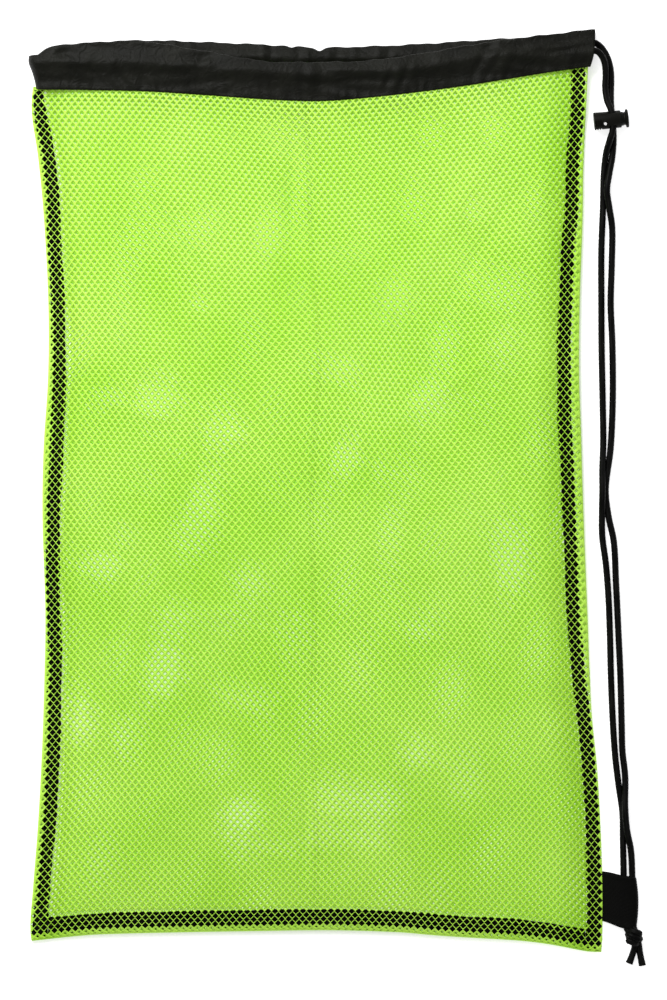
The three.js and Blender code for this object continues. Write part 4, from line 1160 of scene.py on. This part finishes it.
for name, (tape, rings), flat in (
    ("left_tape", side_tape("left_tape", *SIDE_TAPES[0]), (TAPE_WIDTH, LEFT_TAPE_LENGTH)),
    ("right_tape", side_tape("right_tape", *SIDE_TAPES[1]), (TAPE_WIDTH, RIGHT_TAPE_LENGTH)),
    ("bottom_tape", bottom_tape("bottom_tape"), (BOTTOM_TAPE_WIDTH, BOTTOM_TAPE_LENGTH)),
):
    dress(tape, BLACK_TAPE, "tape", "bag", name.replace("tape", "binding"))
    rows = [
        stitch_row(f"{name}_stitches_{k}", rings[:, k], STITCH_PITCH, STITCH_RADIUS, UP)
        for k in (TAPE_SIDES // 8, 3 * TAPE_SIDES // 8)
    ]
    stitches = joined(f"{name}_stitches", rows)
    dress(stitches, THREAD, "tape", "bag")


# Casing

FACE_POINTS = 24
HIDDEN_END = 6                                  # stations at each end that the free strands fill
ARC_POINTS = 5
HALF_STATIONS = 260
FOLD_STATIONS = 15
END_DROP = 0.0006                               # how far the rim falls at the folded end
END_DROP_LENGTH = 0.0056
RIM_START = 1.5 * RIM_ROUND                     # its arc begins this far below the rim
RIM_WAVES = [(0.0003, 210, 1.3), (0.0002, 470, 0)]
CASING_CUT = (0.066, 0.880)                     # the band before it is folded and gathered
HEM_POINT = 2                                   # the hem's stitches lie at this point up each face
HEM_PITCH = 0.0030
HEM_THREAD = 0.00022
HIDDEN_SIDES = 12


def casing_stations():
    """Places along the casing: x, the height of its middle and its turn, from the front half's right end
    round the folded left end, a half circle, to the back half's right end."""
    x = np.linspace(CASING_RIGHT, CASING_LEFT, HALF_STATIONS)
    radius = (lift(CASING_LEFT) - CASING_HALF) / 2
    turn = np.pi * np.arange(1, FOLD_STATIONS + 1) / (FOLD_STATIONS + 1)
    fold_x = CASING_LEFT - radius * np.sin(turn)
    fold_z = CASING_HALF + radius * (1 + np.cos(turn))
    return (
        np.concatenate([x, fold_x, x[::-1]]),
        np.concatenate([lift(x), fold_z, np.full(HALF_STATIONS, CASING_HALF)]),
        np.concatenate([np.zeros(HALF_STATIONS), turn, np.full(HALF_STATIONS, np.pi)]),
    )


def casing_line(x, turn):
    """The hem, rim and cord's place at each station. The back rim is pinched by bell curves, and the rim
    falls by the square of the way round the folded end."""
    back = turn / np.pi
    pinch = sum(depth * bell((x - place) / width) for place, width, depth in RIM_NOTCHES)
    drop = END_DROP * np.clip((CASING_LEFT - x) / END_DROP_LENGTH, 0, 1) ** 2
    rim = mix(front_rim(x), back_rim(x) - pinch, back) + waves(x, RIM_WAVES) - drop
    return hem(x) + BACK_HEM_RISE * back, rim, mix(front_cord(x), back_cord(x), back)


def slanted(x, share):
    """How far the casing leans out at a share of its height: evenly at its left end, and at its right end
    soon and then hardly more, by the cube of the share that is left."""
    from_left = np.clip((x - CASING_LEFT) / (CASING_RIGHT - CASING_LEFT), 0, 1)
    lean = mix(share, 1 - (1 - share) ** 3, from_left)
    return mix(LEFT_SLANT, RIGHT_SLANT, from_left) * lean


def casing_rings(inset):
    """Rings of points round the casing's section, from the hem up its outer face, over the rim, down its
    inner face and round the hem. inset is 0 for the skin and the wall's thickness for the channel. The cord's
    bulge is a bell curve. Where the cloth lies on the surface, it is flat."""
    x, z, turn = (v[:, None] for v in casing_stations())
    bottom, rim, cord = casing_line(x, turn)
    back = turn / np.pi
    low = bottom + (HEM_STITCH if inset else CASING_HALF / 2)
    high = rim - inset - RIM_START

    # The swell of the cord, and the two faces' distances from the band's middle
    def bulge(y):
        return CORD_BULGE * bell((y - cord) / BULGE_SPREAD)

    def outside(y):
        return CASING_HALF - inset + bulge(y) * (1 - back)

    def inside(y):
        return CASING_HALF - inset + bulge(y) * (BULGE_SHARE - 1 + back)

    share = np.linspace(0, 1, FACE_POINTS)[None]
    face = mix(low, high, share)
    arc = np.pi * np.arange(1, ARC_POINTS + 1)[None] / (ARC_POINTS + 1)
    half_out, half_in = outside(high), inside(high)
    hem_out, hem_in = outside(low), inside(low)
    y = np.concatenate([
        face,
        high + RIM_ROUND * np.sin(arc),
        face[:, ::-1],
        low - CASING_HALF / 2 * np.sin(arc),
    ], axis=1)
    off = np.concatenate([
        outside(face),
        (half_out - half_in) / 2 + (half_out + half_in) / 2 * np.cos(arc),
        -inside(face[:, ::-1]),
        (hem_out - hem_in) / 2 - (hem_out + hem_in) / 2 * np.cos(arc),
    ], axis=1)
    off = off + moved_out(x + 0 * y, y, turn + 0 * y)
    place_x = x + slanted(x, (y - bottom) / (rim - bottom)) - np.sin(turn) * off
    place_z = np.maximum(z + np.cos(turn) * off, LAID_FLAT + inset / 4)
    return np.stack([place_x, y, place_z], axis=-1)


def casing():
    """The sleeve: an outer skin and the channel's skin, joined by a ring of faces at each open end."""
    outer, inner = casing_rings(0.0), casing_rings(CASING_WALL)
    count, sides = outer.shape[:2]
    quads, ring, side = skin(count, sides)
    lined = skin(count, sides, count * sides)[0][:, ::-1]
    step = np.arange(sides)
    after = (step + 1) % sides
    ends = []
    for station, turned in ((0, False), (count - 1, True)):
        out = station * sides
        into = count * sides + out
        ring_end = np.stack([into + step, out + step, out + after, into + after], axis=1)
        ends.append(ring_end[:, ::-1] if turned else ring_end)
    along = lengths(outer[:, FACE_POINTS // 2])
    place = np.stack([along[ring], CASING_CUT[0] * side / sides], axis=-1)
    faces = [quads, lined, *ends]
    uv = [place, place[:, ::-1], *(np.zeros((*end.shape, 2)) for end in ends)]
    points = np.concatenate([outer.reshape(-1, 3), inner.reshape(-1, 3)])
    return make_piece("casing_band", points, faces, uv), outer


band, band_rings = casing()
dress(band, NYLON, "casing", "bag", "casing")
back_hem_point = 2 * FACE_POINTS + ARC_POINTS - 1 - HEM_POINT
stitch_lines = {
    "hem_stitches": band_rings[:HALF_STATIONS, HEM_POINT],
    "back_hem_stitches": band_rings[HALF_STATIONS + FOLD_STATIONS:, back_hem_point],
}
for name, line in stitch_lines.items():
    row = stitch_row(name, line, HEM_PITCH, HEM_THREAD, UP)
    dress(row, THREAD, "casing", "bag")


def cord_in_casing():
    """The cord in the channel: the middle of the bulge at each station, carried out with the cloth."""
    x, z, turn = casing_stations()
    bottom, rim, cord = casing_line(x, turn)
    back = turn / np.pi
    middle = CORD_BULGE * ((1 - back) - (BULGE_SHARE - 1 + back)) / 2
    off = middle + moved_out(x, cord, turn)
    place_x = x + slanted(x, (cord - bottom) / (rim - bottom)) - np.sin(turn) * off
    return np.stack([place_x, cord, z + np.cos(turn) * off], axis=1)


hidden_path = cord_in_casing()[HIDDEN_END:-HIDDEN_END]
hidden = tube("cord_in_casing", hidden_path, CORD_DIAMETER / 2, HIDDEN_SIDES, (0, 1, 0))
dress(hidden, CORD, "cord", "bag", "drawcord_in_casing")


# Ribbon loop

TAB_WIDTH = 0.0375
TAB_ROOT = (0.203, -0.3054)
TAB_SLOPE = -0.16
TAB_WALL = 0.001
# The ribbon's middle line, from the seam along the floor, round its fold and back over the cords
TAB_LINE = [
    (-0.0018, 0, 0.0014), (0.0010, 0, 0.0012), (0.0040, 0, 0.0007), (0.0080, 0, 0.0005), (0.0150, 0, 0.0005),
    (0.0215, 0, 0.0005), (0.0246, 0, 0.0012), (0.0259, 0, 0.0034), (0.0248, 0, 0.0056), (0.0218, 0, 0.0063),
    (0.0160, 0, 0.0062), (0.0118, 0, 0.0058), (0.0070, 0, 0.0046), (0.0036, 0, 0.0036), (0.0008, 0, 0.0026),
    (-0.0018, 0, 0.0022),
]
TAB_ROUND = 0.075                               # its outer end falls back by this share towards its edges
TAB_FLARE = 0.13                                # its lower edge drops by this much more than its upper one
TAB_HEM = 0.0040                                # the turned-in end at the seam, which lies thicker
TAB_HEM_EDGE = 0.0004
TAB_HEM_RISE = 0.0003
TAB_STEP = 0.0006
TAB_ROWS = 41                                   # points across it
TAB_SQUARENESS = 40                             # the power that rounds its edges
SELVEDGES = [(0.00028, 0.93, 0.04), (0.00020, 0.83, 0.03)]  # rise, and place and width in half widths
RIB_RISE = 0.00006
RIB_TURN = 20 * np.pi
TAB_WAVES = [(0.0003, 260, 0)]


def ribbon_loop():
    """A strip carried along its middle line.

    It is thicker at both selvedges by bell curves, with ribs between them as a cosine, and thicker at its
    turned-in end at the seam. Its place along Y slopes with the distance from the seam, and its outer end is
    rounded by the square of the row.
    """
    line = smooth_path(TAB_LINE, TAB_STEP)
    forward = unit(np.gradient(line, axis=0))
    over = np.stack([-forward[:, 2], forward[:, 1], forward[:, 0]], axis=1)
    rows = np.linspace(-1, 1, TAB_ROWS)
    half = TAB_WALL / 2 * np.sqrt(np.maximum(1 - np.abs(rows) ** TAB_SQUARENESS, 0))
    for rise, place, width in SELVEDGES:
        half = half + rise * bell((np.abs(rows) - place) / width)
    half = half + RIB_RISE * np.cos(rows * RIB_TURN)
    ring = np.concatenate([rows, rows[::-1]])
    turned_in = TAB_HEM_RISE * (1 - ease(line[:, :1], TAB_HEM - TAB_HEM_EDGE, TAB_HEM + TAB_HEM_EDGE))
    thick = np.concatenate([half, -half[::-1]]) * (1 + turned_in / TAB_WALL)
    along = lengths(line)
    points = line[:, None] + thick[..., None] * over[:, None]
    out = np.maximum(line[:, None, 0], 0)
    drop = TAB_SLOPE * out - TAB_FLARE * out * np.maximum(-ring, 0)
    points[..., 0] = TAB_ROOT[0] + points[..., 0] * (1 - TAB_ROUND * ring ** 2)
    points[..., 1] = TAB_ROOT[1] + ring * TAB_WIDTH / 2 + drop + waves(along, TAB_WAVES)[:, None]
    points[..., 2] = np.maximum(points[..., 2], LAID_FLAT)
    return swept("ribbon_loop", points, along, 2 * TAB_WIDTH)


loop = ribbon_loop()
dress(loop, RIBBON, "tape", "bag", "cord_tab")


# Cord lock

LOCK_END = np.array((0.1958, 0.2764, 0.007))
LOCK_TILT = np.radians(5.8)
LOCK_AXIS = np.array((np.cos(LOCK_TILT), np.sin(LOCK_TILT), 0))
LOCK_SIDE = np.array((np.sin(LOCK_TILT), -np.cos(LOCK_TILT), 0))
LOCK_UP = np.array(UP, float)
LOCK_RADIUS = 0.0065
LOCK_LENGTH = 0.0204
BORE_RADIUS = 0.0056
BORE_FLOOR = 0.004
CORD_SLOT = dict(at=0.0139, half_width=0.0026, half_height=0.0045)
EYELET = dict(at=0.0083, side=-0.0026, radius=0.0012, lean=(-0.062, 0.070))
GRIP_GROOVES = (0.0016, 0.0034, 0.0052)
GROOVE_DEPTH = 0.0007
GROOVE_MOUTH = 0.0006                           # half widths of a groove, at its mouth and its floor
GROOVE_FLOOR = 0.0003
GROOVE_SIDE = (-0.05, 0.2)                      # it runs out between these cosines round the barrel
GRIP_LENGTH = 0.0068
END_FLARE = 0.0003                              # the barrel widens by this much to its closed end
PLUNGER_RADIUS = 0.0053
PLUNGER_TIP = 0.0106
PLUNGER_TRAVEL = 0.003
PLUNGER_EDGE = 0.0004
NECK_END = 0.0012                               # past the barrel's mouth, where the waist begins
WAIST_START = 0.0020
WAIST_DEPTH = 0.0005
WAIST_FLARE = 0.0006                            # the waist widens this far before the button
BUTTON = dict(start=0.0239, end=0.0258, radius=0.0069)
BUTTON_DISH = 0.0003
BUTTON_FACE = 0.6                               # the dished face's radius, of the button's
BARREL_EDGE = 0.0006
RIM_SPREAD = 0.0006                             # the eyelet's rim: its middle past the hole's edge,
RIM_THICK = 0.0004                              # its own radius, and how far it is sunk
RIM_SUNK = 0.0001
LOCK_SIDES = 72
PIN_SIDES = 28
EYELET_STEPS = 40
EYELET_SIDES = 12
POLE = 0.0002                                   # a turned shape closes round its axis from this radius
CUT_PAST = 0.001                                # a cutter begins this far outside
SHARP_ANGLE = np.radians(38)


def in_lock(along, side, up):
    """Places in the lock's own directions: along its barrel, to its side, and up."""
    place = along[..., None] * LOCK_AXIS + side[..., None] * LOCK_SIDE + up[..., None] * LOCK_UP
    return LOCK_END + place


def turned(name, profile):
    """A turned shape: a profile of radius, length and depth, carried round the lock's axis. The depth is cut
    in on the side towards the bag's bottom alone."""
    radius, along, depth = np.array(profile).T[..., None]
    angle = circle(LOCK_SIDES)
    reach = radius - depth * ease(np.cos(angle), *GROOVE_SIDE)
    rings = in_lock(along + 0 * angle, reach * np.cos(angle), reach * np.sin(angle))
    return swept(name, rings, lengths(np.array(profile)), 2 * np.pi * LOCK_RADIUS)


def block(name, low, high):
    """A box between two corners, in the lock's directions."""
    ends = np.array([low, high], float)
    corner = np.array([(0, 0), (1, 0), (1, 1), (0, 1)])
    rings = np.stack([
        in_lock(np.full(4, ends[k, 0]), ends[corner[:, 0], 1], ends[corner[:, 1], 2]) for k in (0, 1)
    ])
    return swept(name, rings, np.array([0.0, 1.0]), 1.0)


def pin(name, along, side, radius, lean, reach):
    """A round bar from below the lock to above it, which leans by its shares of the height."""
    angle = circle(PIN_SIDES)
    out, beside = radius * np.cos(angle), radius * np.sin(angle)
    rings = np.stack([
        in_lock(along + lean[0] * z + out, side + lean[1] * z + beside, np.full(PIN_SIDES, z))
        for z in (-reach, reach)
    ])
    return swept(name, rings, np.array([0.0, 1.0]), 1.0)


def cut(piece, *cutters):
    """The piece with the cutters taken out of it, as a plain mesh with its sharp edges marked."""
    for cutter in cutters:
        tool = piece.modifiers.new("cut", "BOOLEAN")
        tool.operation = "DIFFERENCE"
        tool.solver = "EXACT"
        tool.object = cutter
    depsgraph = bpy.context.evaluated_depsgraph_get()
    result = bpy.data.meshes.new_from_object(piece.evaluated_get(depsgraph))
    piece.modifiers.clear()
    piece.data = result
    result.set_sharp_from_angle(angle=SHARP_ANGLE)
    for cutter in cutters:
        bpy.data.objects.remove(cutter)
    return piece


def slot_cutter(name, start, end, radius):
    """The block that clears the cords' slot from a start to an end along the lock."""
    wide = 4 * radius
    half_height = CORD_SLOT["half_height"]
    return block(name, (start, -wide, -half_height), (end, wide, half_height))


def lock_barrel():
    """The barrel: turned, with grip grooves at its closed end, a slot for the cords and an eyelet."""
    edge = BARREL_EDGE
    wide_end = LOCK_RADIUS + END_FLARE
    body = [
        (POLE, 0.0, 0),
        (wide_end - edge, 0.0, 0),
        (wide_end - edge / 3, edge / 4, 0),
        (wide_end, edge, 0),
    ]
    for at in GRIP_GROOVES:
        radius = LOCK_RADIUS + END_FLARE * (1 - at / GRIP_LENGTH)
        body += [
            (radius, at - GROOVE_MOUTH, 0),
            (radius, at - GROOVE_FLOOR, GROOVE_DEPTH),
            (radius, at + GROOVE_FLOOR, GROOVE_DEPTH),
            (radius, at + GROOVE_MOUTH, 0),
        ]
    body += [
        (LOCK_RADIUS, GRIP_LENGTH, 0),
        (LOCK_RADIUS, LOCK_LENGTH - edge, 0),
        (LOCK_RADIUS - edge / 3, LOCK_LENGTH - edge / 4, 0),
        (BORE_RADIUS, LOCK_LENGTH, 0),
        (BORE_RADIUS, BORE_FLOOR, 0),
        (POLE, BORE_FLOOR, 0),
    ]
    barrel = turned("lock_body", body)
    middle, half_width = CORD_SLOT["at"], CORD_SLOT["half_width"]
    opening = slot_cutter("slot", middle - half_width, middle + half_width, LOCK_RADIUS)
    eye = pin("eye", EYELET["at"], -EYELET["side"], EYELET["radius"], EYELET["lean"], 4 * LOCK_RADIUS)
    return cut(barrel, opening, eye)


def eyelet_rim():
    """A raised ring round the eyelet, on the barrel's top: a torus whose middle follows the barrel's curve,
    the root of its radius squared less the place beside its axis squared."""
    angle = circle(EYELET_STEPS)
    section = circle(EYELET_SIDES)
    radius = EYELET["radius"] + RIM_SPREAD + RIM_THICK * np.cos(section)
    along = EYELET["at"] + radius[None] * np.cos(angle)[:, None]
    side = -EYELET["side"] + radius[None] * np.sin(angle)[:, None]
    top = np.sqrt(LOCK_RADIUS ** 2 - side ** 2)
    rings = in_lock(along, side, top + RIM_THICK * np.sin(section)[None] - RIM_SUNK)
    quads = skin(EYELET_STEPS + 1, EYELET_SIDES)[0]
    return make_piece("eyelet_rim", rings.reshape(-1, 3), [quads % rings[..., 0].size])


def lock_plunger():
    """The button, its neck and two prongs, which run above and below the cords."""
    edge = PLUNGER_EDGE
    start, end, radius = BUTTON["start"], BUTTON["end"], BUTTON["radius"]
    neck = PLUNGER_RADIUS
    outline = [
        (POLE, PLUNGER_TIP),
        (neck - edge, PLUNGER_TIP),
        (neck, PLUNGER_TIP + edge),
        (neck, LOCK_LENGTH + NECK_END),
        (neck - WAIST_DEPTH, LOCK_LENGTH + WAIST_START),
        (neck - edge, start - WAIST_FLARE),
        (neck + edge, start),
        (radius - edge, start),
        (radius, start + edge),
        (radius, end - edge),
        (radius - edge / 3, end - edge / 3),
        (radius - edge, end),
        (BUTTON_FACE * radius, end - BUTTON_DISH),
        (POLE, end - BUTTON_DISH),
    ]
    blank = turned("lock_button", [(*place, 0) for place in outline])
    root = CORD_SLOT["at"] + CORD_SLOT["half_width"] + PLUNGER_TRAVEL
    return cut(blank, slot_cutter("between", PLUNGER_TIP - CUT_PAST, root, radius))


barrel = lock_barrel()
dress(barrel, PLASTIC, "lock", "bag", "lock_barrel")
rim = eyelet_rim()
dress(rim, PLASTIC, "lock", "bag")
button = lock_plunger()
dress(button, PLASTIC, "lock", "plunger", "lock_plunger")


# Free cords, each from the casing's right end to the knot: the loop below only looks each one up

for name, on_it in (("front_strand", [knot_piece, barrel, rim, button]), ("back_strand", [])):
    piece, path = strands[name]


# Floor and light

FLOOR_REACH = 6.0
FLOOR_DROP = 0.0002                             # how far it lies under the bag
PAPER = (0.88, 0.88, 0.88)
GLOW_SHIFT = (0.065, 0, 0)
GLOW_SCALE = (4.08, 2.5, 1)                     # the bag's half width and length come to about 0.85
GLOW = [(0.82, (0.30, 0.30, 0.30)), (0.88, (0.75, 0.75, 0.75))]
SOFTBOX = dict(place=(-0.9, 1.5, 1.6), target=(0, 0, 0), size=1.2, power=57)
SKY_LIGHT = 0.42


def floor():
    """A wide plain surface just under the bag, lit from below beside the bag more than under it: the light
    follows the greater of the distances across and along the bag, each over its size."""
    corner = np.array([(-1, -1), (1, -1), (1, 1), (-1, 1)]) * FLOOR_REACH
    points = np.column_stack([corner, np.full(4, -FLOOR_DROP)])
    mesh = bpy.data.meshes.new("floor")
    mesh.from_pydata(points.tolist(), [], [(0, 1, 2, 3)])
    piece = bpy.data.objects.new("floor", mesh)
    bpy.context.collection.objects.link(piece)
    material, tree, shader = finish("white_paper", PAPER, roughness=0.9, Specular_IOR_Level=0.1,
                                    Emission_Strength=1)
    place = {"Vector": object_place(tree), "Location": GLOW_SHIFT, "Scale": GLOW_SCALE}
    from_bag = node(tree, "Mapping", place).outputs["Vector"]
    size = node(tree, "VectorMath", {0: from_bag}, operation="ABSOLUTE").outputs["Vector"]
    far = node(tree, "SeparateXYZ", {"Vector": size})
    beside = node(tree, "Math", {0: far.outputs["X"], 1: far.outputs["Y"]}, operation="MAXIMUM")
    tree.links.new(ramp(tree, beside.outputs["Value"], GLOW), shader.inputs["Emission Color"])
    mesh.materials.append(material)


def softbox(name, place, target, size, power):
    """A square lamp at a place, turned to its target."""
    lamp = bpy.data.lights.new(name, "AREA")
    lamp.size = size
    lamp.energy = power
    piece = bpy.data.objects.new(name, lamp)
    piece.location = place
    aim = np.array(target) - np.array(place)
    piece.rotation_euler = (
        np.arctan2(np.hypot(aim[0], aim[1]), -aim[2]),
        0,
        np.arctan2(aim[0], -aim[1]) + np.pi,
    )
    bpy.context.collection.objects.link(piece)


floor()
softbox("upper_softbox", **SOFTBOX)
world = bpy.data.worlds.new("studio")
world.use_nodes = True
sky = world.node_tree.nodes["Background"]
sky.inputs["Color"].default_value = (1, 1, 1, 1)
sky.inputs["Strength"].default_value = SKY_LIGHT
bpy.context.scene.world = world
bpy.context.scene.view_settings.view_transform = "Standard"
